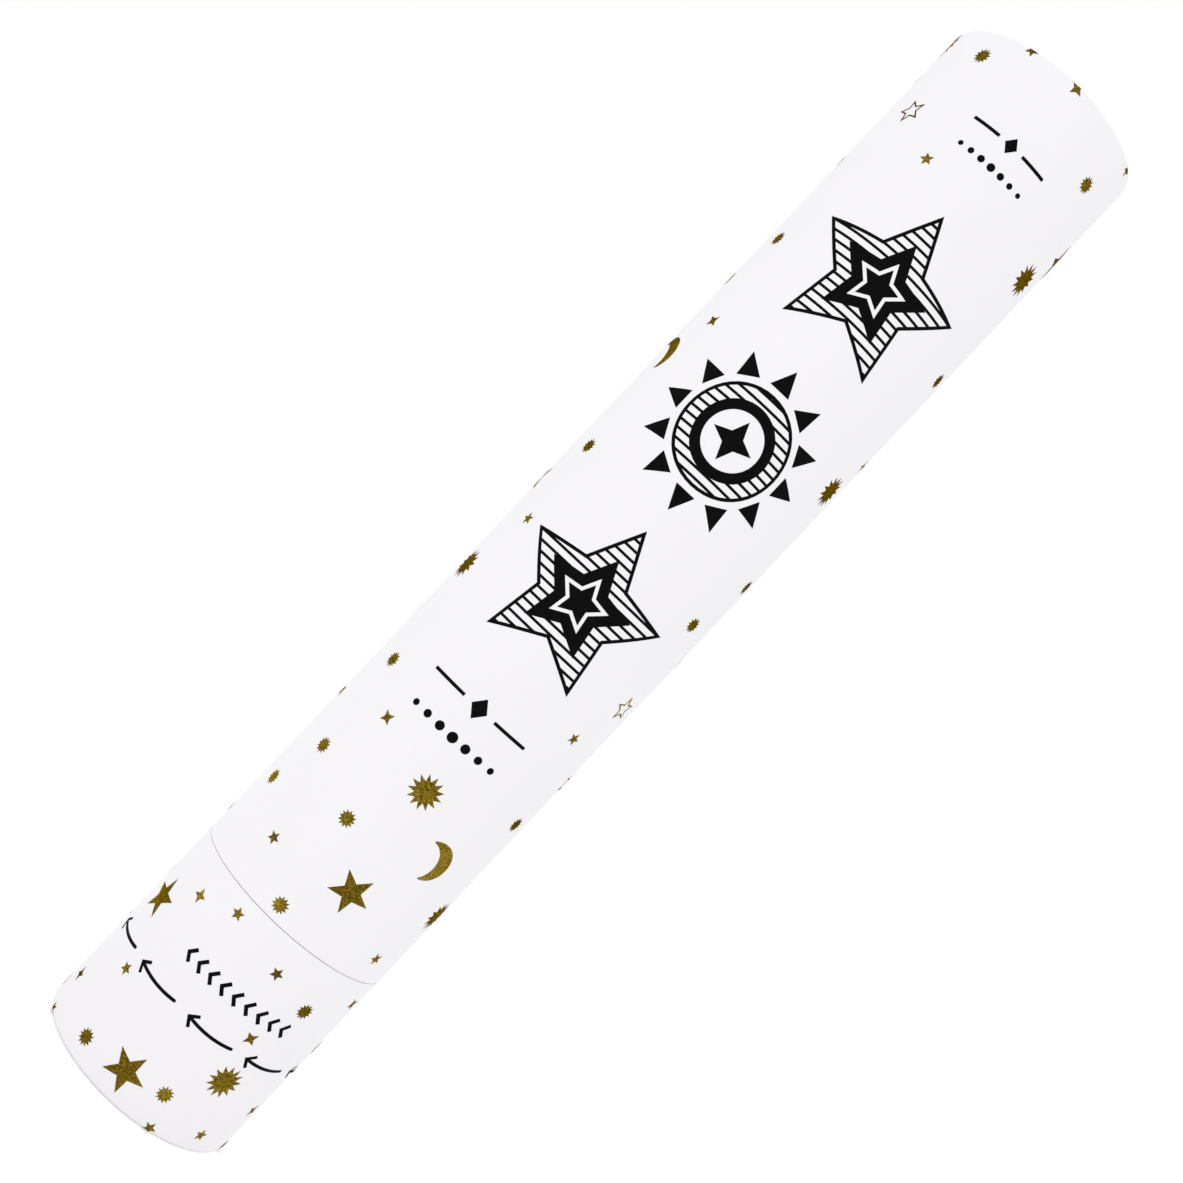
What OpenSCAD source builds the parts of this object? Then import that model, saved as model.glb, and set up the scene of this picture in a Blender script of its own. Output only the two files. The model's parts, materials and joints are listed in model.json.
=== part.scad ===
// Twist-action confetti popper: a wrapped board barrel, a twist base, a small can of
// compressed air on a cam-lifted carrier, a stack of paper confetti and a press-in closure.
// Millimetres. The origin is the centre of the bottom rim and +Z runs to the mouth.

/* [Tubes] */
// Outside diameter over the paper wrap
tube_d = 50; // [48:0.5:60]
// Length of the twist base
base_l = 49.5; // [46:0.5:58]
// Length of the barrel, from the seam to the mouth
barrel_l = 238.1; // [200:0.1:260]
// Width of the seam between base and barrel
seam_gap = 0.4; // [0.3:0.1:1]
// Thickness of the spiral-wound board
board_t = 2; // [1.5:0.1:2.5]
// Thickness of the paper wrap
wrap_t = 0.3; // [0.2:0.05:0.5]
// Rounding of the wrapped rims
rim_r = 1; // [0.6:0.1:1.2]
// Depth to which the barrel's wrap is turned into the mouth
lip_l = 9; // [6:0.5:16]
// Height to which the base's wrap is turned up inside the bottom
turn_in_l = 2.9; // [1.5:0.1:2.9]

/* [Bottom cap] */
// Depth of the cap below the bottom rim
cap_recess = 1.6; // [1.5:0.1:3]
// Thickness of the cap
cap_t = 1.4; // [1.4:0.1:3]
// Rounding of the cap's edge
cap_edge_r = 0.3; // [0.1:0.05:0.5]

/* [Twist housing] */
// Wall of the twist housing
housing_wall = 2; // [1.8:0.1:2.6]
// Thickness of the inner flange at the housing's foot
foot_flange_t = 2; // [1.5:0.1:4]
// Width of the inner flange at the housing's foot
foot_flange_w = 3; // [2.8:0.1:4]
// Diameter of the pegs that key the cam disc to the housing
peg_d = 2.4; // [1.6:0.1:2.4]

/* [Cam] */
// Turn of the base from rest to its stop, in degrees
twist_angle = 90; // [60:1:92]
// Rise of the carrier over that turn
lift = 5; // [3.5:0.1:5.2]
// Thickness of the cam disc
cam_t = 2; // [1.5:0.1:4]
// Diameter of the hole in the cam disc
cam_hole_d = 12; // [6:0.5:16]
// Radial width of a ramp
ramp_w = 6; // [4:0.1:6.5]
// Height of a ramp's low end above the disc
ramp_foot = 1; // [0.6:0.1:2]
// Height of a ramp's stop wall above its high end
stop_h = 2; // [1:0.1:3]
// Width of a stop wall, in degrees
stop_angle = 6; // [3:0.5:6]
// Width of a carrier tooth, in degrees
tooth_angle = 20; // [12:1:20]

/* [Guide sleeve] */
// Wall of the guide sleeve inside the twist housing
sleeve_wall = 2.2; // [2:0.1:2.4]
// Wall of the sleeve's head inside the barrel
head_wall = 2.2; // [1.6:0.1:2.8]
// Thickness of the shoulder that seats on the board's end
shoulder_t = 2.2; // [1.5:0.1:4]
// Height of the sleeve's foot above the cam disc
sleeve_foot_gap = 3; // [1:0.1:4]
// Height of the snap barbs above the sleeve's foot
barb_rise = 2; // [1:0.1:4]
// Height of a snap barb
barb_h = 3; // [2:0.1:4]
// Reach of a snap barb beyond the sleeve
barb_out = 0.7; // [0.4:0.05:0.8]
// Length of a snap finger, cut free by a slot at each side
finger_l = 20; // [12:0.5:26]
// Width of a slot beside a finger
slot_w = 1.2; // [0.8:0.1:2]
// Width of a snap finger, in degrees
finger_angle = 34; // [24:1:44]
// Width of a key groove
groove_w = 3.2; // [2.4:0.1:5]
// Depth of a key groove
groove_depth = 1.1; // [0.8:0.05:1.2]

/* [Carrier] */
// Thickness of the carrier's plate
plate_t = 2.2; // [1.6:0.1:4]
// Width of the plate's ledge under the can
plate_ledge_w = 4; // [2:0.1:6]
// Wall of the cup that holds the can
cup_wall = 1.5; // [1:0.1:1.6]
// Height of the cup above the plate
cup_h = 21; // [14:0.5:30]
// Height of the spring seat's top above the plate
seat_rise = 9; // [6:0.5:10]
// Thickness of the spring seat
seat_t = 2; // [1.2:0.1:3]

/* [Air can] */
// Space between the can and the sleeve, which takes the cup and the return spring
can_space = 6.25; // [6.25:0.05:7]
// Height of the can's straight body
can_body_h = 38; // [34:0.5:44]
// Wall of the can
can_wall = 0.8; // [0.4:0.05:1.2]
// Radius of the can's shoulder
can_shoulder_r = 5; // [4:0.1:5]
// Rounding of the can's bottom edge
can_edge_r = 2; // [1.3:0.1:3]
// Depth of the dished bottom
can_dish = 1.5; // [0.6:0.1:3]
// Diameter of the can's neck
neck_d = 13; // [12.6:0.1:13]
// Height of the neck below the bead
neck_h = 3; // [1.5:0.1:4]
// Reach of the bead beyond the neck
bead_out = 0.5; // [0.3:0.05:0.6]
// Height of the bead
bead_h = 3; // [2:0.1:4]

/* [Valve] */
// Wall of the valve body
valve_wall = 1; // [0.7:0.05:1.3]
// Length of the valve body below its flange
valve_l = 10; // [9.6:0.1:12]
// Thickness of the valve body's flange
valve_flange_t = 1; // [0.6:0.1:1.5]
// Thickness of the valve body's floor
valve_floor_t = 1.2; // [0.8:0.1:1.4]
// Diameter of the inlet in the floor
inlet_d = 3; // [1:0.1:4]
// Thickness of the valve gasket
gasket_t = 1.5; // [1:0.1:2]
// Diameter of the hole through gasket and crimp cup
orifice_d = 5.4; // [4.2:0.1:6]
// Wall of the crimp cup's side
crimp_wall = 0.85; // [0.6:0.05:1]
// Thickness of the crimp cup's top
crimp_top_t = 1; // [0.6:0.1:1.5]
// Height of the lip crimped under the bead
crimp_lip_h = 0.8; // [0.5:0.05:1.2]
// Diameter of the stem's poppet
poppet_d = 8.4; // [7.6:0.1:8.6]
// Thickness of the poppet
poppet_t = 1.4; // [1:0.1:1.5]
// Diameter of the stem's rod
rod_d = 3.2; // [2:0.1:3.4]
// Height of the rod above the crimp cup
rod_out = 2.1; // [1:0.1:4]
// Diameter of the nub that centres the valve spring
nub_d = 2.8; // [2:0.1:3.2]
// Length of that nub
nub_l = 2.5; // [1:0.1:2.5]

/* [Nozzle plug] */
// Thickness of the nozzle disc
nozzle_t = 3; // [2:0.1:5]
// Thickness of the flange above it
nozzle_flange_t = 2; // [1.8:0.1:4]
// Wall of the socket round the crimp cup
socket_wall = 2; // [1.9:0.1:3]
// Length of the socket
socket_l = 10.4; // [9.6:0.1:10.6]
// Depth of the seal groove in the socket
seal_groove_depth = 1.3; // [0.8:0.05:1.4]
// Height of the seal groove
seal_groove_h = 2; // [1.6:0.1:2.4]
// Diameter of an air vent
vent_d = 3.2; // [2:0.1:3.4]
// Number of air vents
vent_count = 6; // [4:1:6]
// Distance of the vents from the axis
vent_radius = 5.2; // [4.6:0.1:5.6]
// Width of the rim round the air chamber sunk in the top
chamber_rim_w = 2.25; // [1:0.05:6]
// Depth of that chamber
chamber_depth = 1; // [0.4:0.1:1.5]
// Diameter of the push pin
pin_d = 3; // [2:0.1:3.4]

/* [Springs] */
// Wire of the return spring
return_wire_d = 1.2; // [0.8:0.1:1.2]
// Curls of the return spring
return_curls = 10; // [6:1:12]
// Wire of the valve spring
valve_wire_d = 0.5; // [0.3:0.05:0.5]
// Curls of the valve spring
valve_curls = 6; // [4:1:6]
// Mean diameter of the valve spring
valve_spring_d = 5.8; // [5:0.1:7]

/* [Charge] */
// Thickness of a wad card
wad_card_t = 1.5; // [0.8:0.1:3]
// Thickness of the foam wad
wad_foam_t = 8; // [4:0.5:14]
// Thickness of a paper confetti bundle
bundle_t = 5.6; // [4:0.1:12]
// Space between two layers of bundles
bundle_gap = 0.4; // [0.2:0.1:0.8]
// Turn of each layer of bundles over the one below, in degrees
layer_turn = 40; // [0:5:60]

/* [Closure] */
// Thickness of the closure's disc
closure_t = 1.5; // [1:0.1:2.5]
// Wall of the closure's skirt
skirt_wall = 1.2; // [0.8:0.1:2]
// Depth of the closure's skirt
skirt_l = 7; // [4:0.5:12]
// Thickness of the paper facing on the closure
facing_t = 0.4; // [0.2:0.05:0.8]

/* [Fits] */
// Paste line between the board and its wrap
paste_gap = 0.05; // [0.02:0.01:0.1]
// Space all round a piece that is glued, pressed or crimped in place
glue_gap = 0.1; // [0.05:0.01:0.15]
// Space all round a piece that turns or slides
run_gap = 0.1; // [0.05:0.01:0.15]
// Space between two faces that move over or away from each other
face_gap = 0.2; // [0.1:0.05:0.3]
// Space all round the wads and the closure in the mouth
mouth_gap = 0.15; // [0.1:0.01:0.3]
// Height of the gap between ramps and teeth
ramp_gap = 0.15; // [0.1:0.01:0.25]

/* [Hidden] */
$fn = 96;

// How far a cut runs past the face that it opens
overrun = 0.5;

// Tubes, from the outside in
tube_r = tube_d / 2;
total_l = base_l + seam_gap + barrel_l;
barrel_z0 = base_l + seam_gap;
board_r = tube_r - wrap_t - paste_gap;
bore_r = board_r - board_t;
lip_r = bore_r - paste_gap - wrap_t;
// The rounding leaves a flat on the rim, whatever the wall
rim_flat_share = 0.1;
rim_c = min(rim_r, (tube_r - lip_r) * (1 - rim_flat_share) / 2);

// Pieces glued into the tubes
cap_r = lip_r - glue_gap;
housing_r = bore_r - glue_gap;
housing_in_r = housing_r - housing_wall;
sleeve_r = housing_in_r - run_gap;
sleeve_in_r = sleeve_r - sleeve_wall;
head_r = bore_r - glue_gap;
head_in_r = head_r - head_wall;

// Heights of the base's inner pieces
housing_z0 = cap_recess + cap_t;
housing_z1 = barrel_z0 - face_gap;
cam_z0 = housing_z0 + foot_flange_t;
cam_z1 = cam_z0 + cam_t;
peg_radius = housing_in_r - foot_flange_w / 2;

// Cam: the ramps rise steadily, so the carrier follows the turn in step
ramp_count = 3;
ramp_step = 5;
tooth_play = 1;
ramp_rate = lift / twist_angle;
ramp_angle = twist_angle + tooth_angle + 2 * tooth_play;
// Distance of the ramps from the sleeve
ramp_side_gap = 1.8;
ramp_out_r = sleeve_in_r - ramp_side_gap;
ramp_in_r = ramp_out_r - ramp_w;
ramp_z0 = cam_z1 + ramp_foot;
ramp_z1 = ramp_z0 + ramp_rate * ramp_angle;
stop_z1 = ramp_z1 + stop_h;
// Inset of a tooth from the ramp's sides
tooth_inset = 0.4;

// Guide sleeve
sleeve_z0 = cam_z1 + sleeve_foot_gap;
barb_z0 = sleeve_z0 + barb_rise;
barb_r = sleeve_r + barb_out;
// Lowest part of a barb, which is cut away as a lead-in
barb_lead_share = 0.6;
snap_groove_r = barb_r + face_gap;
key_r = sleeve_in_r + groove_depth;
// The fingers lie midway between the key grooves
finger_first = 180 / ramp_count;

// Carrier
// Height of the plate above the stop walls at rest
plate_clear = 0.5;
// Height of the key grooves' ends above the keys at full lift
groove_end_clear = 4;
plate_z0 = stop_z1 + plate_clear;
plate_z1 = plate_z0 + plate_t;
carrier_r = sleeve_in_r - run_gap;
can_r = sleeve_in_r - can_space;
cup_in_r = can_r + glue_gap;
cup_r = cup_in_r + cup_wall;
seat_z1 = plate_z1 + seat_rise;
key_groove_z1 = seat_z1 + lift + groove_end_clear;

// Air can
neck_r = neck_d / 2;
bead_r = neck_r + bead_out;
can_z1 = plate_z1 + can_body_h;
neck_z0 = can_z1 + can_shoulder_r;
bead_z0 = neck_z0 + neck_h;
bead_z1 = bead_z0 + bead_h;
neck_bore_r = neck_r - can_wall;
dish_half_w = can_r - can_edge_r - can_wall;
dish_r = (pow(dish_half_w, 2) + pow(can_dish, 2)) / (2 * can_dish);

// Valve
valve_r = neck_bore_r - glue_gap;
valve_bore_r = valve_r - valve_wall;
valve_z0 = bead_z1 - valve_l;
valve_floor_z1 = valve_z0 + valve_floor_t;
gasket_z0 = bead_z1 + valve_flange_t;
gasket_z1 = gasket_z0 + gasket_t;
crimp_in_r = bead_r + glue_gap;
crimp_r = crimp_in_r + crimp_wall;
crimp_z0 = bead_z0 - crimp_lip_h;
crimp_z1 = gasket_z1 + crimp_top_t;
// Space between poppet and gasket with the valve shut
shut_gap = 0.05;
poppet_z1 = gasket_z0 - shut_gap;
poppet_z0 = poppet_z1 - poppet_t;
rod_z1 = crimp_z1 + rod_out;

// Nozzle plug
// Space above the crimp cup at full lift
head_clear = 1.5;
nozzle_z0 = crimp_z1 + lift + head_clear;
nozzle_z1 = nozzle_z0 + nozzle_t;
nozzle_z2 = nozzle_z1 + nozzle_flange_t;
nozzle_r = head_in_r - glue_gap;
socket_in_r = crimp_r + run_gap;
socket_r = socket_in_r + socket_wall;
// The seal stays on the crimp cup's side through the whole lift
seal_z = (crimp_z0 + lift + crimp_z1) / 2;
seal_in_r = crimp_r + run_gap / 2;
seal_out_r = socket_in_r + seal_groove_depth - glue_gap / 2;
pin_z0 = rod_z1 + face_gap;
hub_r = pin_d;

// Springs
curl_rings = 8;
wire_sides = 6;
// Distance of the return spring from the sleeve
spring_side_gap = 1.2;
return_r = sleeve_in_r - spring_side_gap - return_wire_d / 2;

// Charge and closure
wad_r = lip_r - mouth_gap;
wad_z0 = nozzle_z2 + face_gap;
foam_z0 = wad_z0 + wad_card_t;
foam_z1 = foam_z0 + wad_foam_t;
wad_z1 = foam_z1 + wad_card_t;
closure_z1 = total_l - lip_l - facing_t;
closure_z0 = closure_z1 - closure_t;
skirt_z0 = closure_z0 - skirt_l;
// Three bundles side by side fill the bore: the share of its radius that each one takes
bundle_share = 2 * sqrt(3) - 3;
bundle_field_r = wad_r - skirt_wall - mouth_gap;
bundle_r = bundle_field_r * bundle_share - bundle_gap / 2;
bundle_radius = bundle_field_r * (1 - bundle_share);
bundle_pitch = bundle_t + bundle_gap;
bundle_z0 = wad_z1 + bundle_gap;
layer_count = floor((skirt_z0 - bundle_z0) / bundle_pitch);

// A ring of rectangular section round the axis
module band(r_in, r_out, z0, z1) {
    rotate_extrude()
        translate([r_in, z0])
            square([r_out - r_in, z1 - z0]);
}

// Section of a tube wall whose two ends are rounded on both edges
module wall_section(r_in, r_out, z0, z1, low_c, high_c) {
    translate([r_in, z0 + low_c])
        square([r_out - r_in, z1 - z0 - low_c - high_c]);
    if (low_c > 0)
        rounded_end(r_in, r_out, z0 + low_c, low_c, z0);
    if (high_c > 0)
        rounded_end(r_in, r_out, z1 - high_c, high_c, z1 - high_c);
}

// One rounded end of a wall: two corner circles and the flat between them
module rounded_end(r_in, r_out, centre_z, c, flat_z) {
    for (x = [r_in + c, r_out - c])
        translate([x, centre_z])
            circle(c);
    translate([r_in + c, flat_z])
        square([r_out - r_in - 2 * c, c]);
}

// Pieces set round the axis at equal steps
module around(count, first = 0) {
    for (i = [0:count - 1])
        rotate([0, 0, first + i * 360 / count])
            children();
}

// A block round the axis whose floor and top each climb steadily over its turn
module helical_block(r_in, r_out, turn, low, high) {
    steps = ceil(turn / ramp_step);
    points = [
        for (i = [0:steps])
            let (s = i / steps, a = turn * s,
                 z0 = low[0] + (low[1] - low[0]) * s,
                 z1 = high[0] + (high[1] - high[0]) * s)
            each [
                [r_in * cos(a), r_in * sin(a), z0],
                [r_out * cos(a), r_out * sin(a), z0],
                [r_out * cos(a), r_out * sin(a), z1],
                [r_in * cos(a), r_in * sin(a), z1]
            ]
    ];
    last = 4 * steps;
    sides = [
        for (i = [0:steps - 1], j = [0:3])
            let (a = 4 * i + j, b = 4 * i + (j + 1) % 4)
            each [[a, b, b + 4], [a, b + 4, a + 4]]
    ];
    ends = [[0, 3, 2], [0, 2, 1], [last, last + 1, last + 2], [last, last + 2, last + 3]];
    polyhedron(points, concat(sides, ends));
}

// Route of a compression spring as [radius, angle, z]: a straight end run, the curls, and
// a second straight end run, each run one wire long and square to its seat
function spring_route(r, z0, z1, curls, wire) = concat(
    [[r, 0, z0]],
    [for (i = [0:curls * curl_rings])
        [r, 360 * i / curl_rings,
         z0 + wire + (z1 - z0 - 2 * wire) * i / (curls * curl_rings)]],
    [[r, 360 * curls, z1]]
);

function spot(p) = [p[0] * cos(p[1]), p[0] * sin(p[1]), p[2]];
function unit(v) = v / norm(v);

// Direction of the wire at one point of its route
function heading(route, i) =
    let (last = len(route) - 1,
         here = spot(route[i]),
         before = i > 0 ? unit(here - spot(route[i - 1])) : [0, 0, 0],
         after = i < last ? unit(spot(route[i + 1]) - here) : [0, 0, 0])
    unit(before + after);

// Least gap between two curls, measured on the route's points
function least_gap(route, wire) = min([
    for (i = [0:len(route) - 1], j = [i + curl_rings / 2:1:len(route) - 1])
        norm(spot(route[i]) - spot(route[j]))
]) - wire;

// Round wire laid along a spring's route
module wire(route, wire_d) {
    rings = len(route);
    points = [
        for (i = [0:rings - 1])
            let (t = heading(route, i),
                 outward = [cos(route[i][1]), sin(route[i][1]), 0],
                 across = unit(cross(t, outward)))
            for (k = [0:wire_sides - 1])
                let (a = 360 * k / wire_sides)
                spot(route[i]) + wire_d / 2 * (cos(a) * outward + sin(a) * across)
    ];
    sides = [
        for (i = [0:rings - 2], k = [0:wire_sides - 1])
            let (a = i * wire_sides + k, b = i * wire_sides + (k + 1) % wire_sides)
            each [[a, a + wire_sides, b + wire_sides], [a, b + wire_sides, b]]
    ];
    far = (rings - 1) * wire_sides;
    ends = [
        for (k = [1:wire_sides - 2])
            each [[0, k, k + 1], [far, far + k + 1, far + k]]
    ];
    polyhedron(points, concat(sides, ends));
}

return_route = spring_route(return_r, seat_z1, nozzle_z0, return_curls, return_wire_d);
valve_route = spring_route(
    valve_spring_d / 2, valve_floor_z1, poppet_z0, valve_curls, valve_wire_d);
echo("return spring, least gap to itself", least_gap(return_route, return_wire_d));
echo("valve spring, least gap to itself", least_gap(valve_route, valve_wire_d));

// Twist base

// Board tube of the base
module base_tube() {
    board_end = wrap_t + paste_gap;
    color([0.72, 0.64, 0.52])
        rotate_extrude()
            wall_section(bore_r, board_r, board_end, base_l, rim_c - board_end, 0);
}

// Paper wrap of the base, turned round the bottom rim and pasted down inside
module base_wrap() {
    color([0.95, 0.94, 0.96])
        rotate_extrude()
            difference() {
                wall_section(lip_r, tube_r, 0, base_l, rim_c, 0);
                wall_section(lip_r + wrap_t, tube_r - wrap_t, wrap_t, base_l + overrun,
                             rim_c - wrap_t, 0);
                translate([0, turn_in_l])
                    square([bore_r, base_l]);
            }
}

// Card disc that closes the bottom
module bottom_cap() {
    color([0.93, 0.92, 0.94])
        rotate_extrude()
            intersection() {
                wall_section(-cap_r, cap_r, cap_recess, housing_z0, cap_edge_r, 0);
                square([tube_r, housing_z0]);
            }
}

// Plastic housing glued in the base: it carries the cam disc and snaps over the sleeve
module twist_housing() {
    color([0.16, 0.16, 0.17])
        difference() {
            union() {
                band(housing_in_r, housing_r, housing_z0, housing_z1);
                band(housing_in_r - foot_flange_w, housing_r, housing_z0, cam_z0);
            }
            band(0, snap_groove_r, barb_z0 - face_gap, barb_z0 + barb_h + face_gap);
            around(ramp_count)
                translate([peg_radius, 0, housing_z0 - overrun])
                    cylinder(h = foot_flange_t + 2 * overrun, d = peg_d + 2 * glue_gap);
        }
}

// Cam disc: three ramps, each ending in a stop wall, and three pegs below
module cam_disc() {
    color([0.86, 0.86, 0.84])
        union() {
            band(cam_hole_d / 2, housing_in_r - glue_gap, cam_z0, cam_z1);
            around(ramp_count) {
                translate([peg_radius, 0, housing_z0 + face_gap])
                    cylinder(h = foot_flange_t + cam_t / 2 - face_gap, d = peg_d);
                helical_block(ramp_in_r, ramp_out_r, ramp_angle,
                              [cam_z1 - cam_t / 2, cam_z1 - cam_t / 2],
                              [ramp_z0, ramp_z1]);
                rotate([0, 0, ramp_angle - tooth_play / 2])
                    helical_block(ramp_in_r, ramp_out_r, stop_angle,
                                  [cam_z1 - cam_t / 2, cam_z1 - cam_t / 2],
                                  [stop_z1, stop_z1]);
            }
        }
}

// Barrel

// Board tube of the barrel
module barrel_tube() {
    board_end = wrap_t + paste_gap;
    color([0.72, 0.64, 0.52])
        rotate_extrude()
            wall_section(bore_r, board_r, barrel_z0, total_l - board_end, 0,
                         rim_c - board_end);
}

// Paper wrap of the barrel, turned over the mouth and pasted down inside
module barrel_wrap() {
    color([0.95, 0.94, 0.96])
        rotate_extrude()
            difference() {
                wall_section(lip_r, tube_r, barrel_z0, total_l, 0, rim_c);
                wall_section(lip_r + wrap_t, tube_r - wrap_t, barrel_z0 - overrun,
                             total_l - wrap_t, 0, rim_c - wrap_t);
                translate([0, barrel_z0 - overrun])
                    square([bore_r, barrel_l - lip_l + overrun]);
            }
}

// Plastic sleeve glued in the barrel: it turns inside the housing and guides the carrier
module guide_sleeve() {
    finger_half = finger_angle / 2;
    color([0.16, 0.16, 0.17])
        difference() {
            union() {
                band(sleeve_in_r, sleeve_r, sleeve_z0, barrel_z0 + shoulder_t);
                band(sleeve_in_r, head_r, barrel_z0, barrel_z0 + shoulder_t);
                band(head_in_r, head_r, barrel_z0, nozzle_z1);
                around(ramp_count, finger_first - finger_half)
                    rotate_extrude(angle = finger_angle)
                        barb_section();
            }
            around(ramp_count, finger_first)
                for (side = [-finger_half, finger_half])
                    rotate([0, 0, side])
                        finger_slot();
            around(ramp_count)
                translate([0, -groove_w / 2, sleeve_z0 - overrun])
                    cube([key_r, groove_w, key_groove_z1 - sleeve_z0 + overrun]);
        }
}

// Section of a snap barb: a lead-in below and a square catch above
module barb_section() {
    inner = sleeve_r - sleeve_wall / 2;
    polygon([
        [inner, barb_z0],
        [sleeve_r, barb_z0],
        [barb_r, barb_z0 + barb_h * barb_lead_share],
        [barb_r, barb_z0 + barb_h],
        [inner, barb_z0 + barb_h]
    ]);
}

// Cutter for the slot at one side of a snap finger
module finger_slot() {
    translate([sleeve_in_r - overrun, -slot_w / 2, sleeve_z0 - overrun])
        cube([sleeve_wall + barb_out + 2 * overrun, slot_w, finger_l + overrun]);
}

// Nozzle plug: socket for the can's crimp cup, air vents, and the seat of the charge
module nozzle_plug() {
    color([0.88, 0.88, 0.86])
        difference() {
            union() {
                band(0, nozzle_r, nozzle_z0, nozzle_z1);
                band(0, head_r, nozzle_z1, nozzle_z2);
                band(socket_in_r, socket_r, nozzle_z0 - socket_l, nozzle_z0);
            }
            band(0, socket_in_r + seal_groove_depth, seal_z - seal_groove_h / 2,
                 seal_z + seal_groove_h / 2);
            difference() {
                band(0, nozzle_r - chamber_rim_w, nozzle_z2 - chamber_depth, nozzle_z2 + overrun);
                band(0, hub_r, nozzle_z2 - chamber_depth, nozzle_z2 + overrun);
            }
            translate([0, 0, nozzle_z0 - overrun])
                cylinder(h = nozzle_z2 - nozzle_z0 + 2 * overrun, d = pin_d + glue_gap);
            around(vent_count)
                translate([vent_radius, 0, nozzle_z0 - overrun])
                    cylinder(h = nozzle_z2 - nozzle_z0 + 2 * overrun, d = vent_d);
        }
}

// Steel pin pressed in the plug: the valve stem is driven against it
module push_pin() {
    color([0.75, 0.76, 0.78])
        rotate_extrude()
            intersection() {
                wall_section(-pin_d / 2, pin_d / 2, pin_z0, nozzle_z2, pin_d / 8, 0);
                square([pin_d, nozzle_z2]);
            }
}

// Rubber ring in the socket's groove, round the crimp cup
module neck_seal_ring() {
    color([0.08, 0.08, 0.08])
        rotate_extrude()
            translate([(seal_in_r + seal_out_r) / 2, seal_z])
                circle((seal_out_r - seal_in_r) / 2);
}

// Spring that keeps the carrier down on the cam
module return_spring() {
    color([0.78, 0.79, 0.8])
        wire(return_route, return_wire_d);
}

// Carrier and its air can

// Carrier: teeth below, a cup for the can, a spring seat, and keys that stop it turning
module carrier() {
    tooth_low = ramp_z0 + ramp_gap + ramp_rate * tooth_play;
    tooth_high = tooth_low + ramp_rate * tooth_angle;
    tooth_top = plate_z0 + plate_t / 2;
    key_w = groove_w - 2 * run_gap;
    color([0.62, 0.07, 0.09])
        difference() {
            union() {
                band(can_r - plate_ledge_w, carrier_r, plate_z0, plate_z1);
                band(cup_in_r, cup_r, plate_z1, plate_z1 + cup_h);
                band(cup_in_r, carrier_r, seat_z1 - seat_t, seat_z1);
                around(ramp_count)
                    translate([can_r, -key_w / 2, plate_z0])
                        cube([key_r - run_gap - can_r, key_w, seat_z1 - plate_z0]);
                around(ramp_count, tooth_play)
                    helical_block(ramp_in_r + tooth_inset, ramp_out_r - tooth_inset,
                                  tooth_angle, [tooth_low, tooth_high],
                                  [tooth_top, tooth_top]);
            }
            band(0, cup_in_r, plate_z1, seat_z1 + overrun);
        }
}

// Outline of the can, as a solid or, drawn one wall smaller, as its inside
module can_section(inset) {
    body_r = can_r - inset;
    shoulder_x = can_r - can_shoulder_r;
    edge_c = can_edge_r - inset;
    floor_z = plate_z1 + inset;
    intersection() {
        wall_section(-body_r, body_r, floor_z, can_z1, edge_c, 0);
        square([can_r, can_z1]);
    }
    translate([0, can_z1])
        square([shoulder_x, can_shoulder_r - inset]);
    intersection() {
        translate([shoulder_x, can_z1])
            circle(can_shoulder_r - inset);
        translate([shoulder_x - can_wall, can_z1 - can_wall])
            square([can_shoulder_r + can_wall, can_shoulder_r + can_wall]);
    }
}

// Aluminium can of compressed air, with a dished bottom and a beaded neck
module air_can() {
    color([0.8, 0.81, 0.83])
        rotate_extrude()
            difference() {
                union() {
                    can_section(0);
                    translate([0, can_z1])
                        square([neck_r, bead_z1 - can_z1]);
                    translate([0, bead_z0])
                        square([bead_r, bead_h]);
                }
                difference() {
                    can_section(can_wall);
                    dish_circle(can_wall);
                }
                translate([0, can_z1])
                    square([neck_bore_r, bead_z1 + overrun - can_z1]);
                intersection() {
                    dish_circle(0);
                    translate([0, plate_z1 - overrun])
                        square([dish_half_w, can_dish + 2 * overrun]);
                }
            }
}

// Circle that dishes the can's bottom, or its upper side one wall higher
module dish_circle(outset) {
    intersection() {
        translate([0, plate_z1 + can_dish - dish_r])
            circle(dish_r + outset);
        translate([0, plate_z1 - dish_r])
            square([can_r, 3 * dish_r]);
    }
}

// Plastic valve body hung in the can's neck
module valve_body() {
    color([0.9, 0.9, 0.88])
        union() {
            band(valve_bore_r, valve_r, valve_z0, gasket_z0);
            band(inlet_d / 2, valve_r, valve_z0, valve_floor_z1);
            band(valve_bore_r, bead_r, bead_z1, gasket_z0);
        }
}

// Rubber gasket between the valve body and the crimp cup
module valve_gasket() {
    color([0.1, 0.1, 0.1])
        band(orifice_d / 2, bead_r, gasket_z0, gasket_z1);
}

// Metal cup crimped over the bead: it clamps the valve to the can
module crimp_cup() {
    color([0.82, 0.68, 0.36])
        union() {
            band(crimp_in_r, crimp_r, crimp_z0, crimp_z1);
            band(orifice_d / 2, crimp_r, gasket_z1, crimp_z1);
            band(neck_r + glue_gap, crimp_r, crimp_z0, bead_z0);
        }
}

// Spring that holds the valve shut
module valve_spring() {
    color([0.78, 0.79, 0.8])
        wire(valve_route, valve_wire_d);
}

// Valve stem: poppet, rod above it and spring nub below
module valve_stem() {
    color([0.92, 0.92, 0.9])
        union() {
            band(0, poppet_d / 2, poppet_z0, poppet_z1);
            band(0, rod_d / 2, poppet_z0, rod_z1);
            band(0, nub_d / 2, poppet_z0 - nub_l, poppet_z1);
        }
}

// Charge

// A card disc of the piston wad
module wad_card(z0) {
    color([0.62, 0.54, 0.42])
        band(0, wad_r, z0, z0 + wad_card_t);
}

module wad_card_lower() {
    wad_card(wad_z0);
}

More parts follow.
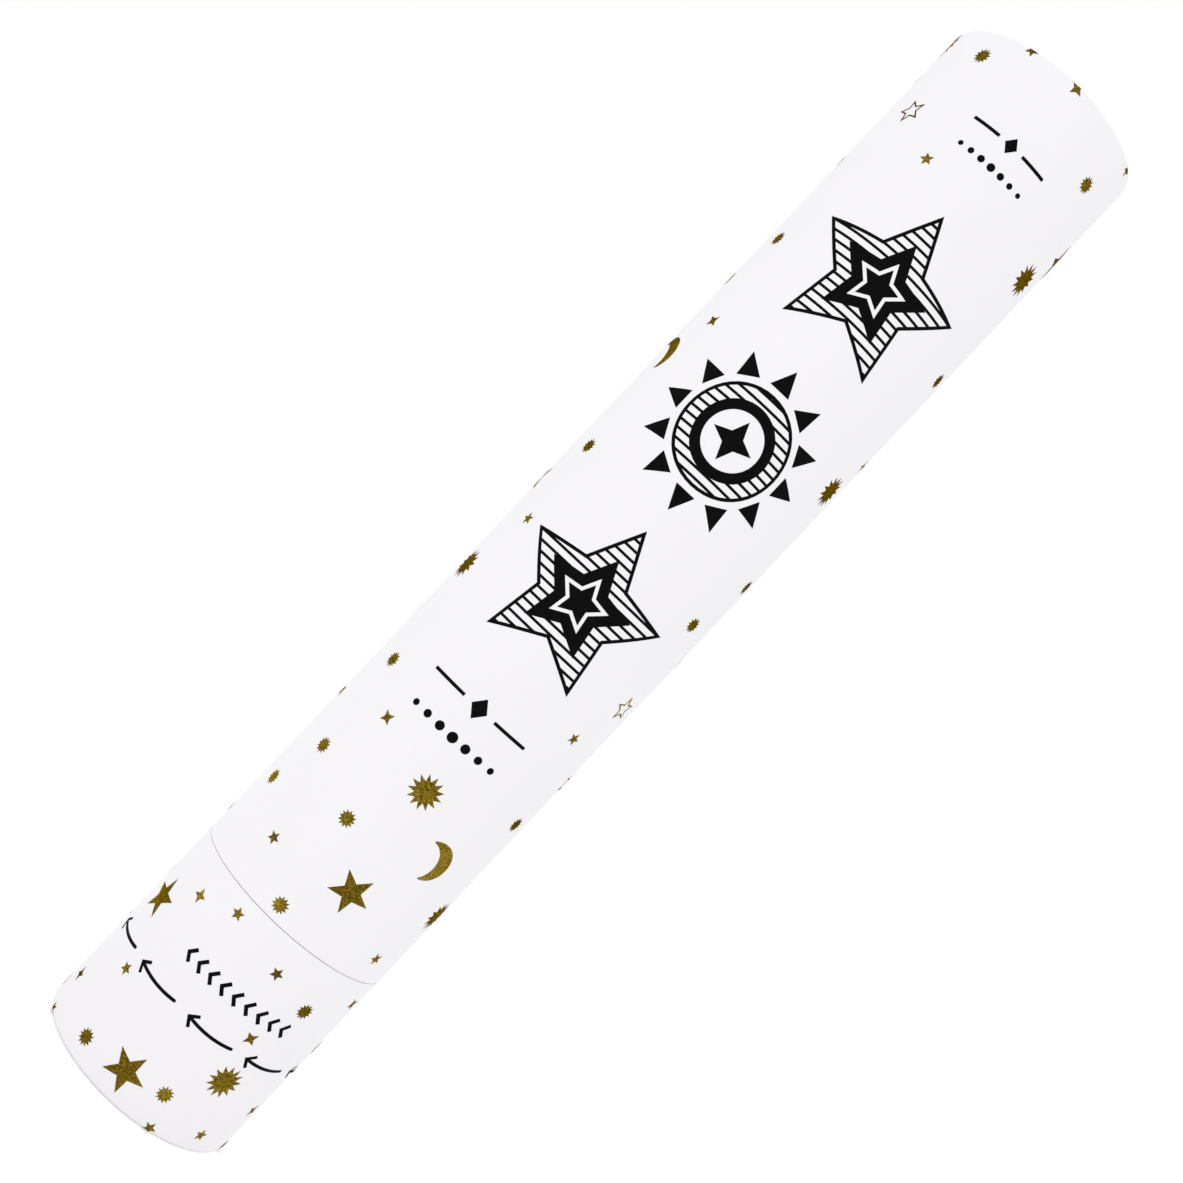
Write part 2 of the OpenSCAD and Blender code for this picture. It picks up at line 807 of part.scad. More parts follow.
// Foam disc of the piston wad, which seals against the bore
module wad_foam() {
    color([0.9, 0.9, 0.88])
        band(0, wad_r, foam_z0, foam_z1);
}

module wad_card_upper() {
    wad_card(foam_z1);
}

// Every third bundle of paper confetti: three lie in each layer, and the layers turn
module bundles(first) {
    for (layer = [0:layer_count - 1])
        rotate([0, 0, layer * layer_turn + first * 120])
            translate([bundle_radius, 0, bundle_z0 + layer * bundle_pitch])
                cylinder(h = bundle_t, r = bundle_r);
}

module confetti_gold() {
    color([0.78, 0.6, 0.2])
        bundles(0);
}

module confetti_white() {
    color([0.95, 0.95, 0.95])
        bundles(1);
}

module confetti_black() {
    color([0.1, 0.1, 0.1])
        bundles(2);
}

// Closure

// Light cup pressed into the mouth, open side down
module closure_cup() {
    color([0.93, 0.92, 0.94])
        union() {
            band(0, wad_r, closure_z0, closure_z1);
            band(wad_r - skirt_wall, wad_r, skirt_z0, closure_z1);
        }
}

// Paper facing pasted on the closure
module closure_facing() {
    color([0.8, 0.66, 0.28])
        band(0, wad_r, closure_z1, closure_z1 + facing_t);
}

base_tube();
base_wrap();
bottom_cap();
twist_housing();
cam_disc();
barrel_tube();
barrel_wrap();
guide_sleeve();
nozzle_plug();
push_pin();
neck_seal_ring();
return_spring();
carrier();
air_can();
valve_body();
valve_gasket();
crimp_cup();
valve_spring();
valve_stem();
wad_card_lower();
wad_foam();
wad_card_upper();
confetti_gold();
confetti_white();
confetti_black();
closure_cup();
closure_facing();
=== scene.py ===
# %% [markdown]
# # A twist popper, dressed round its CAD frame
#
# The popper is a board tube in a white printed wrap, with a short base that turns on it. The
# CAD model already holds every piece at its real size, so this notebook changes no size: it
# adds the finer shapes and the finishes that the eye sees. The plain colours that come with
# the CAD model are cleared, to make room for the finishes.

# %% Load the frame
import json
import math
import random

import bmesh
import bpy
from mathutils import Matrix, Vector, noise


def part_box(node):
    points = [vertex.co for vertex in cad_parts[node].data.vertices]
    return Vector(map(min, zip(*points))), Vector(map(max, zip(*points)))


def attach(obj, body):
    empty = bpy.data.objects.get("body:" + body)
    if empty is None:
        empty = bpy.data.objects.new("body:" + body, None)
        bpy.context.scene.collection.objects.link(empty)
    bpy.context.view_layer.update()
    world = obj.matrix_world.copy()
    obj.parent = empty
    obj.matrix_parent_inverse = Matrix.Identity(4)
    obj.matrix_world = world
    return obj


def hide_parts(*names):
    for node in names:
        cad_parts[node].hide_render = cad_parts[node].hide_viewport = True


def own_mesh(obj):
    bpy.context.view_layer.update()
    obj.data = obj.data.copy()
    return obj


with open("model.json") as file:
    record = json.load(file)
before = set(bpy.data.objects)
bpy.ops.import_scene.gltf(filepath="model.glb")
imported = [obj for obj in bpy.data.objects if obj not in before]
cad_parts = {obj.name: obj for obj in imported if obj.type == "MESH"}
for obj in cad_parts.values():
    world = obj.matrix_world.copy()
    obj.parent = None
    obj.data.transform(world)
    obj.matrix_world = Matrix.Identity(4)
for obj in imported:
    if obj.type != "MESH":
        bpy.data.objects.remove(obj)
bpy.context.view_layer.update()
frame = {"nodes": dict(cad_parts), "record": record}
scene = bpy.context.scene
MM = 0.001
for plain in list(bpy.data.materials):
    bpy.data.materials.remove(plain)

# %% [markdown]
# ## Sizes
#
# Sizes are read from the CAD nodes instead of being typed again. If the CAD model changes,
# the paper, the print and the springs below follow it.

# %% Read the sizes that the pieces share
WRAP_T = 0.3 * MM
RIM_R = 1.0 * MM
LIP_CLEARANCE = 0.15 * MM

base_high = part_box("base_wrap")[1]
barrel_low, barrel_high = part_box("barrel_wrap")
cap_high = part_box("bottom_cap")[1]
facing_low, facing_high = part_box("closure_facing")
tube_r = barrel_high.x
mouth_z = barrel_high.z
lip_r = facing_high.x + LIP_CLEARANCE
print(f"tube radius {tube_r / MM:.2f} mm")
print(f"seam at {base_high.z / MM:.2f} mm, mouth at {mouth_z / MM:.2f} mm")

# %% [markdown]
# ## Round pieces
#
# Nearly everything here is a turned shape. Each is drawn as half an outline of a few
# corners, some of them rounded, and spun once round the axis. The extra points that a wall
# needs, where it is pushed in or out later, are placed between two corners by a helper.

# %% Helpers for turned shapes
MERGE_DISTANCE = 0.001 * MM


def points_between(start, end, count):
    """Evenly spaced points of an outline: the start is left out and the end is kept."""
    return [
        tuple(a + (b - a) * step / count for a, b in zip(start, end))
        for step in range(1, count + 1)
    ]


def turned(outline, rounded, round_r, segments, columns):
    """Spins an outline of (radius, height) points. The rounded ones are given by number."""
    bm = bmesh.new()
    verts = [bm.verts.new((radius, 0, z)) for radius, z in outline]
    for pair in zip(verts, verts[1:]):
        bm.edges.new(pair)
    if rounded:
        bmesh.ops.bevel(
            bm, geom=[verts[number] for number in rounded], offset=round_r,
            segments=segments, profile=0.5, affect="VERTICES", material=-1,
        )
    bmesh.ops.spin(
        bm, geom=bm.verts[:] + bm.edges[:], axis=(0, 0, 1), cent=(0, 0, 0),
        angle=2 * math.pi, steps=columns, use_merge=True,
    )
    bmesh.ops.remove_doubles(bm, verts=bm.verts[:], dist=MERGE_DISTANCE)
    return bm


def push(vert, distance):
    """Moves a vertex away from the axis."""
    radius = math.hypot(vert.co.x, vert.co.y)
    vert.co.x *= 1 + distance / radius
    vert.co.y *= 1 + distance / radius


def smooth_step(value):
    """Rises smoothly from 0 to 1 as the value does."""
    value = min(1.0, max(0.0, value))
    return value * value * (3 - 2 * value)


# %% [markdown]
# ## Camera
#
# The photograph looks at the side of the tube from about 35 cm, and the tube lies across it
# from corner to corner. Its two straight edges, its rims and the ellipse of the seam fix the
# lens and the distance. The camera's matrix is a chain of simple moves, read from right to
# left: step back, roll, tilt to the horizon, and go to the point that the camera looks at.

# %% Place the camera
PHOTO_PX = 1183
FOCAL_PX = 1600.2
SENSOR_MM = 36
CAMERA_DISTANCE = 352.6 * MM
CAMERA_AIM = Vector((0.17, 0, 143.5)) * MM
LOOK_UP = math.radians(0.66)
ROLL = math.radians(43.37)
CLIP_START = 10 * MM

camera_data = bpy.data.cameras.new("camera")
camera_data.sensor_width = SENSOR_MM
camera_data.lens = FOCAL_PX / PHOTO_PX * SENSOR_MM
camera_data.clip_start = CLIP_START
camera = bpy.data.objects.new("camera", camera_data)
camera.matrix_world = (
    Matrix.Translation(CAMERA_AIM)
    @ Matrix.Rotation(math.pi / 2 + LOOK_UP, 4, "X")
    @ Matrix.Rotation(ROLL, 4, "Z")
    @ Matrix.Translation((0, 0, CAMERA_DISTANCE))
)
scene.collection.objects.link(camera)
scene.camera = camera
print(f"camera with a {camera_data.lens:.1f} mm lens")

# %% [markdown]
# ## Node helpers
#
# Materials are trees of nodes. These helpers add a node and fill its inputs in one call. An
# input is given as a plain value or as another node's output, which is then linked.

# %% Helpers for node trees
def add_node(tree, kind, inputs=None, **settings):
    """Adds a shader node, sets its options, and fills or links its inputs."""
    node = tree.nodes.new("ShaderNode" + kind)
    for option, value in settings.items():
        setattr(node, option, value)
    for name, value in (inputs or {}).items():
        if isinstance(value, bpy.types.NodeSocket):
            tree.links.new(value, node.inputs[name])
        else:
            node.inputs[name].default_value = value
    return node


def maths(tree, operation, first, second=0.0):
    """The output of one Math node."""
    return add_node(tree, "Math", {0: first, 1: second}, operation=operation).outputs[0]


def remap(tree, value, low, high, start=0.0, end=1.0):
    """A value from start to end, spread over low to high."""
    inputs = {"Value": value, "From Min": start, "From Max": end, "To Min": low, "To Max": high}
    return add_node(tree, "MapRange", inputs).outputs[0]


def background_rays(tree):
    """One for rays that should see the plain background: camera, mirror and glass rays."""
    rays = add_node(tree, "LightPath").outputs
    seen = maths(tree, "MAXIMUM", rays["Is Camera Ray"], rays["Is Glossy Ray"])
    return maths(tree, "MAXIMUM", seen, rays["Is Transmission Ray"])


# %% [markdown]
# ## Light
#
# The photograph is a white object on pure white, and its paper is nearly one tone from edge
# to edge, so almost all of the light comes evenly from the surroundings. The world has one
# strength as a background and another as a lamp, and this paper needs both at full white. One
# large soft lamp in front, a little to the left, adds the faint fall towards the right edge.

# %% World and lamp
scene.view_settings.view_transform = "Standard"
AMBIENT = 1.0
LAMP_PLACE = Vector((-0.42, -0.85, 0.42))
LAMP_SIZE = 0.9
LAMP_WATTS = 0.62

world = bpy.data.worlds.new("studio")
scene.world = world
world.use_nodes = True
sky = world.node_tree
sky.nodes["Background"].inputs["Color"].default_value = (1, 1, 1, 1)
sky.links.new(
    remap(sky, background_rays(sky), AMBIENT, 1.0), sky.nodes["Background"].inputs["Strength"]
)

lamp_data = bpy.data.lights.new("soft_lamp", "AREA")
lamp_data.size = LAMP_SIZE
lamp_data.energy = LAMP_WATTS
lamp = bpy.data.objects.new("soft_lamp", lamp_data)
towards = (CAMERA_AIM - LAMP_PLACE).to_track_quat("-Z", "Y")
lamp.matrix_world = Matrix.Translation(LAMP_PLACE) @ towards.to_matrix().to_4x4()
scene.collection.objects.link(lamp)
print("world and one lamp")

# %% [markdown]
# ## Floor
#
# The popper stands on a wide pale disc. A diffuse surface alone would look grey beside the
# white world, so a weak glow, which only the camera and mirrors see, lifts it to white. The
# diffuse part still takes the soft shadow round the foot. The disc is clear from below and
# has a hole where the popper covers it, so the bottom can be looked at in its own light.

# %% Floor
FLOOR_R = 6.0
FLOOR_DROP = 0.04 * MM
FLOOR_GLOW = 0.3
FLOOR_PALE = (0.9, 0.9, 0.9)
FLOOR_COLUMNS = 96

hole_edge = (tube_r - RIM_R, -FLOOR_DROP)
floor_edge = (FLOOR_R, -FLOOR_DROP)
floor_bm = turned([hole_edge, floor_edge], (), 0.0, 1, FLOOR_COLUMNS)
bmesh.ops.recalc_face_normals(floor_bm, faces=floor_bm.faces[:])
if floor_bm.faces[:][0].normal.z < 0:
    bmesh.ops.reverse_faces(floor_bm, faces=floor_bm.faces[:])
floor_mesh = bpy.data.meshes.new("floor")
floor_bm.to_mesh(floor_mesh)
floor_bm.free()
floor = bpy.data.objects.new("floor", floor_mesh)
scene.collection.objects.link(floor)

floor_finish = bpy.data.materials.new("floor")
floor_finish.use_nodes = True
tree = floor_finish.node_tree
tree.nodes.remove(tree.nodes["Principled BSDF"])
diffuse = add_node(tree, "BsdfDiffuse", {"Color": (*FLOOR_PALE, 1)})
glow = add_node(
    tree, "Emission", {"Strength": remap(tree, background_rays(tree), 0.0, FLOOR_GLOW)}
)
both = add_node(tree, "AddShader", {0: diffuse.outputs[0], 1: glow.outputs[0]})
clear = add_node(tree, "BsdfTransparent")
from_below = add_node(tree, "NewGeometry").outputs["Backfacing"]
sides = add_node(tree, "MixShader", {0: from_below, 1: both.outputs[0], 2: clear.outputs[0]})
tree.links.new(sides.outputs[0], tree.nodes["Material Output"].inputs["Surface"])
floor_mesh.materials.append(floor_finish)
print("floor laid")

# %% [markdown]
# ## Shared surface effects
#
# Paper, board, foil, plastic and rubber all vary at two scales: a fine grain, and broad
# patches. One node group makes both from noise in the object's own coordinates, so a
# material only says how fine and how broad. A second group draws the joints of a
# spiral-wound tube, and a third the fine parallel lines of drawn or rolled metal.

# %% Groups
def new_group(name, inputs, outputs):
    """A shader node group with float inputs and outputs."""
    group = bpy.data.node_groups.new(name, "ShaderNodeTree")
    for label, value in inputs.items():
        socket = group.interface.new_socket(
            label, in_out="INPUT", socket_type="NodeSocketFloat"
        )
        socket.default_value = value
    for label in outputs:
        group.interface.new_socket(label, in_out="OUTPUT", socket_type="NodeSocketFloat")
    given = group.nodes.new("NodeGroupInput").outputs
    result = group.nodes.new("NodeGroupOutput").inputs
    return group, given, result


def spread_noise(tree, value):
    """Noise spread over 0 to 1, because by itself it seldom leaves 0.3 to 0.7."""
    return remap(tree, value, 0.0, 1.0, 0.3, 0.7)


grain_group, given, result = new_group(
    "grain_and_patches", {"Fine scale": 2000.0, "Broad scale": 60.0}, ["Grain", "Patches"]
)
place = add_node(grain_group, "TexCoord").outputs["Object"]
fine = add_node(
    grain_group, "TexNoise", {"Vector": place, "Scale": given["Fine scale"], "Detail": 3.0}
)
broad = add_node(
    grain_group, "TexNoise", {"Vector": place, "Scale": given["Broad scale"], "Detail": 2.0}
)
grain_group.links.new(spread_noise(grain_group, fine.outputs[0]), result["Grain"])
grain_group.links.new(spread_noise(grain_group, broad.outputs[0]), result["Patches"])

winding_group, given, result = new_group(
    "spiral_winding", {"Rise per turn": 0.07, "Joint width": 0.001}, ["Joint"]
)
place = add_node(winding_group, "TexCoord").outputs["Object"]
axes = add_node(winding_group, "SeparateXYZ", {0: place}).outputs
bearing = maths(winding_group, "ARCTAN2", axes["Y"], axes["X"])
turns = maths(winding_group, "DIVIDE", bearing, 2 * math.pi)
climb = maths(winding_group, "DIVIDE", axes["Z"], given["Rise per turn"])
share = maths(winding_group, "FRACT", maths(winding_group, "ADD", climb, turns))
from_joint = maths(winding_group, "ABSOLUTE", maths(winding_group, "SUBTRACT", share, 0.5))
off_joint = maths(winding_group, "MULTIPLY", from_joint, given["Rise per turn"])
joint = add_node(
    winding_group,
    "MapRange",
    {"Value": off_joint, "From Max": given["Joint width"], "To Min": 1.0, "To Max": 0.0},
    interpolation_type="SMOOTHSTEP",
)
winding_group.links.new(joint.outputs[0], result["Joint"])

line_group, given, result = new_group(
    "drawn_lines", {"Line scale": 3000.0, "Length share": 0.02}, ["Lines"]
)
place = add_node(line_group, "TexCoord").outputs["Object"]
stretch = add_node(line_group, "CombineXYZ", {"X": 1.0, "Y": 1.0, "Z": given["Length share"]})
stretched = add_node(
    line_group, "VectorMath", {0: place, 1: stretch.outputs[0]}, operation="MULTIPLY"
)
lines = add_node(
    line_group, "TexNoise", {"Vector": stretched.outputs[0], "Scale": given["Line scale"]}
)
line_group.links.new(spread_noise(line_group, lines.outputs[0]), result["Lines"])
print("groups:", [group.name for group in bpy.data.node_groups])

# %% [markdown]
# ## Material helpers
#
# A finish is one Principled shader. What is the same all over is set on the shader's own
# sockets. What varies, such as the grain of the colour, comes through the groups above and
# is spread between two close tones.

# %% Helpers for finishes
def new_finish(name, constants):
    """A material with a Principled shader, and its constant values set on their sockets."""
    material = bpy.data.materials.new(name)
    material.use_nodes = True
    tree = material.node_tree
    shader = tree.nodes["Principled BSDF"]
    for socket, value in constants.items():
        shader.inputs[socket].default_value = value
    return tree, shader


def use_group(tree, group, values):
    """Places a shared group in a material with its own values, and returns its outputs."""
    node = tree.nodes.new("ShaderNodeGroup")
    node.node_tree = group
    for name, value in values.items():
        node.inputs[name].default_value = value
    return node.outputs


def shade(colour, factor):
    """A lighter or darker tone of a colour."""
    return tuple(min(1.0, channel * factor) for channel in colour)


def mix_masks(tree, first, second, share):
    """A share of one mask and the rest of another."""
    return maths(
        tree, "ADD", maths(tree, "MULTIPLY", first, share),
        maths(tree, "MULTIPLY", second, 1 - share),
    )


def colour_by(tree, shader, mask, *stops):
    """Colours a surface by a mask: each stop is a place on the mask and a colour."""
    ramp = add_node(tree, "ValToRGB", {"Fac": mask})
    elements = ramp.color_ramp.elements
    for index, (position, colour) in enumerate(stops):
        element = elements[index] if index < 2 else elements.new(position)
        element.position = position
        element.color = (*colour, 1)
    tree.links.new(ramp.outputs["Color"], shader.inputs["Base Color"])


def tint_by(tree, shader, mask, colour, darker, lighter):
    """Spreads a mask between a darker and a lighter tone of one colour."""
    colour_by(tree, shader, mask, (0.0, shade(colour, darker)), (1.0, shade(colour, lighter)))


def roughen_by(tree, shader, mask, low, high):
    """Lets the roughness vary with a mask."""
    tree.links.new(remap(tree, mask, low, high), shader.inputs["Roughness"])


def raise_by(tree, shader, height, distance):
    """Raises a surface by a height from 0 to 1 times a distance in metres."""
    bump = add_node(tree, "Bump", {"Height": height, "Distance": distance})
    tree.links.new(bump.outputs["Normal"], shader.inputs["Normal"])


# %% [markdown]
# ## Paper and board
#
# The wrap is coated white paper with a faint cool cast. Its grain is so fine that it shows
# only as softness in the gloss, but the joints of the board beneath press through very
# slightly, as they do on every wound tube. The board itself is grey-brown, with darker fibres
# and open joints.

# %% Paper and board finishes
WRAP_WHITE = (0.915, 0.9, 0.918)
BOARD_BROWN = (0.5, 0.4, 0.28)
CARD_WHITE = (0.84, 0.83, 0.82)
WAD_BROWN = (0.4, 0.33, 0.24)
WINDING_RISE = 64 * MM
GRAIN_RELIEF = 0.12
BOARD_RELIEF = 0.25 * MM

tree, shader = new_finish("wrap_paper", {})
grain = use_group(tree, grain_group, {"Fine scale": 1600.0, "Broad scale": 45.0})
joints = use_group(
    tree, winding_group, {"Rise per turn": WINDING_RISE, "Joint width": 1.2 * MM}
)
tone = mix_masks(tree, grain["Grain"], grain["Patches"], 0.5)
tint_by(tree, shader, tone, WRAP_WHITE, 0.985, 1.01)
roughen_by(tree, shader, grain["Grain"], 0.42, 0.56)
fibres = maths(tree, "MULTIPLY", grain["Grain"], GRAIN_RELIEF)
raise_by(tree, shader, maths(tree, "SUBTRACT", fibres, joints["Joint"]), 0.02 * MM)


def board_finish(name, colour, contrast, joint_shade):
    """Board: fibres in its tone and its relief, and the dark joints of a wound tube."""
    tree, shader = new_finish(name, {"Roughness": 0.9})
    grain = use_group(tree, grain_group, {"Fine scale": 2600.0, "Broad scale": 160.0})
    joints = use_group(
        tree, winding_group, {"Rise per turn": WINDING_RISE, "Joint width": 0.7 * MM}
    )
    fibres = mix_masks(tree, grain["Grain"], grain["Patches"], 0.6)
    dark_joints = maths(tree, "MULTIPLY", joints["Joint"], joint_shade)
    tone = maths(tree, "SUBTRACT", fibres, dark_joints)
    tint_by(tree, shader, tone, colour, 1 - contrast, 1 + contrast / 2)
    raise_by(tree, shader, tone, contrast * BOARD_RELIEF)


board_finish("board", BOARD_BROWN, 0.28, 0.7)
board_finish("white_card", CARD_WHITE, 0.08, 0.0)
board_finish("wad_card", WAD_BROWN, 0.28, 0.0)
print("paper and board ready")

# %% [markdown]
# ## Foil and ink
#
# The gold motifs are stamped foil. In the photograph the foil is a flat, dark antique gold
# that is finely speckled, because the foil breaks up over the paper's grain. The real foil is
# a bright gold that looks dark because it reflects dark surroundings. It is a metal, so its base
# colour is what it reflects, and the dark gold base is painted shade: it stands in for that dark
# reflection and keeps the foil as dark as the photograph against white surroundings. Three
# tones, from dark to bright, make the speckle. The ink is a deep black with hardly any gloss.

# %% Foil and ink finishes
# The three foil tones are painted shade: their dark base stands in for the dark surroundings
# that bright foil reflects. The speckle between them follows the paper's grain.
FOIL_DARK = (0.05, 0.031, 0.003)
FOIL_GOLD = (0.142, 0.092, 0.006)
FOIL_BRIGHT = (0.3, 0.21, 0.028)
FOIL_EDGE = (0.5, 0.42, 0.25)
INK_BLACK = (0.0025, 0.0025, 0.0027)

tree, shader = new_finish("print_foil", {"Metallic": 1.0, "Specular Tint": (*FOIL_EDGE, 1)})
grain = use_group(tree, grain_group, {"Fine scale": 2400.0, "Broad scale": 42.0})
tone = mix_masks(tree, grain["Grain"], grain["Patches"], 0.55)
colour_by(tree, shader, tone, (0.2, FOIL_DARK), (0.82, FOIL_BRIGHT), (0.5, FOIL_GOLD))
roughen_by(tree, shader, grain["Grain"], 0.5, 0.32)
raise_by(tree, shader, grain["Grain"], 0.015 * MM)

tree, shader = new_finish("print_ink", {"Specular IOR Level": 0.03})
grain = use_group(tree, grain_group, {"Fine scale": 2400.0, "Broad scale": 80.0})
tint_by(tree, shader, grain["Grain"], INK_BLACK, 1.0, 1.8)
roughen_by(tree, shader, grain["Patches"], 0.5, 0.62)
raise_by(tree, shader, grain["Grain"], 0.006 * MM)
print("foil and ink ready")

# %% [markdown]
# ## Finishing a piece
#
# Every new mesh ends the same way: its normals are turned outwards, it is smoothed except at
# its sharp edges, and its object is left at the origin, riding on a CAD body.

# %% Helper that turns a bmesh into a riding piece
SHARP_ANGLE = math.radians(35)


def add_piece(bm, name, body, slot, replaced=()):
    """Makes the piece from its bmesh, with its body, its finish and the nodes it replaces."""
    bmesh.ops.recalc_face_normals(bm, faces=bm.faces[:])
    mesh = bpy.data.meshes.new(name)
    bm.to_mesh(mesh)
    bm.free()
    mesh.materials.append(bpy.data.materials[slot])
    mesh.shade_smooth()
    mesh.set_sharp_from_angle(angle=SHARP_ANGLE)
    piece = bpy.data.objects.new(name, mesh)
    scene.collection.objects.link(piece)
    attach(piece, body)
    if replaced:
        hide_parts(*replaced)
    print(f"{name}: {len(mesh.vertices)} vertices, {len(mesh.polygons)} faces")
    return piece


# %% [markdown]
# ## The paper wraps
#
# One sheet goes round each tube. Its end laps over its start along a straight paste seam at
# the back, and its edge is turned over the rim and pasted down inside, where the spare paper
# gathers in small pleats. The outline is spun, its outer wall and its lip are moved a little
# in or out for the lap and the pleats, and the sheet then gets the paper's thickness. The cut
# edges of the two sheets nearly touch, so the seam between barrel and base is a hairline.

# %% Lap and pleats
COLUMNS = 576
RIM_SEGMENTS = 8
LAP_EDGE = math.radians(121)
LAP_W = 9 * MM
LAP_T = 0.14 * MM
LAP_RAMP = 4 * MM
SEAM_GAP = 0.14 * MM
PLEATS = 72
PLEAT_H = 0.11 * MM
PLEAT_ROW = 1.4 * MM
PLEAT_UNEVEN = 0.4
PLEAT_VARIETY = 9
PLEAT_SHARPNESS = 3
PLEAT_START = 3
CAP_CLEARANCE = 0.1 * MM


def lap_lift(angle):
    """How far the wrap stands out over its own start: a soft rise, then a cut edge."""
    before_edge = (LAP_EDGE - angle) * tube_r
    if before_edge < 0 or before_edge > LAP_W:
        return 0.0
    return LAP_T * smooth_step((LAP_W - before_edge) / LAP_RAMP)


def pleat_lift(angle):
    """How far a pleat stands into the bore at an angle. No two are quite alike."""
    place = Vector((math.cos(angle), math.sin(angle), 0)) * PLEAT_VARIETY
    uneven = 1 - PLEAT_UNEVEN + PLEAT_UNEVEN * noise.noise(place)
    return PLEAT_H * uneven * abs(math.sin(angle * PLEATS / 2)) ** PLEAT_SHARPNESS


def wrap_shell(start_z, rim_z, turned_z):
    """A wrap that starts at start_z, is turned over the rim, and ends inside at turned_z."""
    lip_depth = abs(turned_z - rim_z)
    lip = points_between((lip_r, rim_z), (lip_r, turned_z), int(lip_depth / PLEAT_ROW))
    outline = [(tube_r, start_z), (tube_r, rim_z), (lip_r, rim_z), *lip]
    bm = turned(outline, (1, 2), RIM_R, RIM_SEGMENTS, COLUMNS)
    for vert in bm.verts:
        angle = math.atan2(vert.co.y, vert.co.x)
        from_rim = abs(vert.co.z - rim_z)
        if math.hypot(vert.co.x, vert.co.y) > tube_r - RIM_R:
            push(vert, lap_lift(angle) * smooth_step(from_rim / RIM_R))
        else:
            push(vert, -pleat_lift(angle) * smooth_step(from_rim / lip_depth * PLEAT_START))
    bmesh.ops.recalc_face_normals(bm, faces=bm.faces[:])
    bmesh.ops.solidify(bm, geom=bm.faces[:], thickness=WRAP_T)
    return bm


# %% Make the two wraps
seam_z = (base_high.z + barrel_low.z) / 2
add_piece(
    wrap_shell(seam_z - SEAM_GAP / 2, 0.0, cap_high.z - CAP_CLEARANCE),
    "base_wrap_paper", "base", "wrap_paper", ["base_wrap"],
)
add_piece(
    wrap_shell(seam_z + SEAM_GAP / 2, mouth_z, facing_high.z),
    "barrel_wrap_paper", "barrel", "wrap_paper", ["barrel_wrap"],
)

# %% [markdown]
# ## Printing on a tube
#
# The print is modelled, so that its edges stay crisp from any distance. Each motif is drawn
# flat, with x along the arc and y up the tube, as on the sheet of paper before it is wound.
# Vertical cuts divide it into narrow columns, it gets a hair's thickness, and every point is
# then rolled onto the tube. Without the cuts, a wide motif would bridge the curve like a
# stiff card. Level cuts at the two rims let a motif bend over them with the paper.

# %% Helpers that roll a flat drawing onto the tube
COLUMN_W = 1.5 * MM
RIM_ROWS = 6
RIM_ARC = RIM_R * math.pi / 2
PRINT_T = 0.08 * MM
PRINT_PROUD = 0.03 * MM
WELD = 0.0005 * MM
RIMS = ((0.0, 1), (mouth_z, -1))


def around(angle):
    """An angle brought to within half a turn of zero."""
    return math.remainder(angle, 2 * math.pi)


def on_paper(turn, height, proud):
    """A point over the wrapped tube. The height is measured along the paper, past a rim too."""
    rim_z, inwards = RIMS[height > mouth_z / 2]
    inside = inwards * (height - rim_z)
    past = max(0.0, RIM_R - inside)
    bend = min(past / RIM_R, math.pi / 2)
    radius = tube_r + lap_lift(around(turn - math.pi / 2)) * smooth_step(1 - math.sin(bend))
    radius += (RIM_R + proud) * math.cos(bend) - RIM_R - (past - RIM_R * bend)
    z = rim_z + inwards * (max(inside, RIM_R) - (RIM_R + proud) * math.sin(bend))
    return Vector((radius * math.sin(turn), -radius * math.cos(turn), z))


def cut(flat, place, direction):
    """Divides a flat drawing along a straight line."""
    bmesh.ops.bisect_plane(
        flat, geom=flat.verts[:] + flat.edges[:] + flat.faces[:], dist=WELD,
        plane_co=place, plane_no=direction,
    )


def roll_on(sheet, flat, angle, z):
    """Rolls a flat drawing onto the tube at an angle and a height, and adds it to a sheet."""
    across = [vert.co.x for vert in flat.verts]
    for column in range(math.ceil(min(across) / COLUMN_W), math.ceil(max(across) / COLUMN_W)):
        cut(flat, (column * COLUMN_W, 0, 0), (1, 0, 0))
    for rim_z, inwards in RIMS:
        for row in range(RIM_ROWS + 1):
            inside = RIM_R - row * RIM_ARC / RIM_ROWS
            cut(flat, (0, rim_z + inwards * inside - z, 0), (0, 1, 0))
    bmesh.ops.recalc_face_normals(flat, faces=flat.faces[:])
    if flat.faces[0].normal.z < 0:
        bmesh.ops.reverse_faces(flat, faces=flat.faces[:])
    bmesh.ops.solidify(flat, geom=flat.faces[:], thickness=PRINT_T)
    for vert in flat.verts:
        turn = angle + vert.co.x / tube_r
        vert.co = on_paper(turn, z + vert.co.y, PRINT_PROUD + vert.co.z)
    rolled = bpy.data.meshes.new("rolled")
    flat.to_mesh(rolled)
    flat.free()
    sheet.from_mesh(rolled)
    bpy.data.meshes.remove(rolled)


# %% [markdown]
# ## Flat shapes
#
# Stars, bursts and sparkles are all one shape: a circle of points, every second one drawn in
# towards the centre. A solid one has a fan of triangles round its centre. An outlined star is
# the same circle with a single face, which is inset and then deleted.

# %% Helpers for flat shapes
def draw_star(bm, points, outer, inner_share, x=0.0):
    """A flat star with one point up. Returns its vertices, the centre first."""
    verts = bmesh.ops.create_circle(
        bm, cap_ends=True, cap_tris=True, segments=2 * points, radius=outer
    )["verts"]
    for vert in verts[2::2]:
        vert.co *= inner_share
    bmesh.ops.translate(bm, verts=verts, vec=(x, 0, 0))
    return verts


def draw_plain(bm, corners, outer, inner_share):
    """A star of a single face, or a disc if the share is 1. Returns the face in a list."""
    verts = bmesh.ops.create_circle(bm, cap_ends=True, segments=corners, radius=outer)["verts"]
    for vert in verts[1::2]:
        vert.co *= inner_share
    return bm.faces[:]


def inset(bm, faces, width):
    """Makes faces smaller by a rim of even width, and returns the faces of the rim."""
    return bmesh.ops.inset_individual(
        bm, faces=faces, thickness=width, use_even_offset=True
    )["faces"]


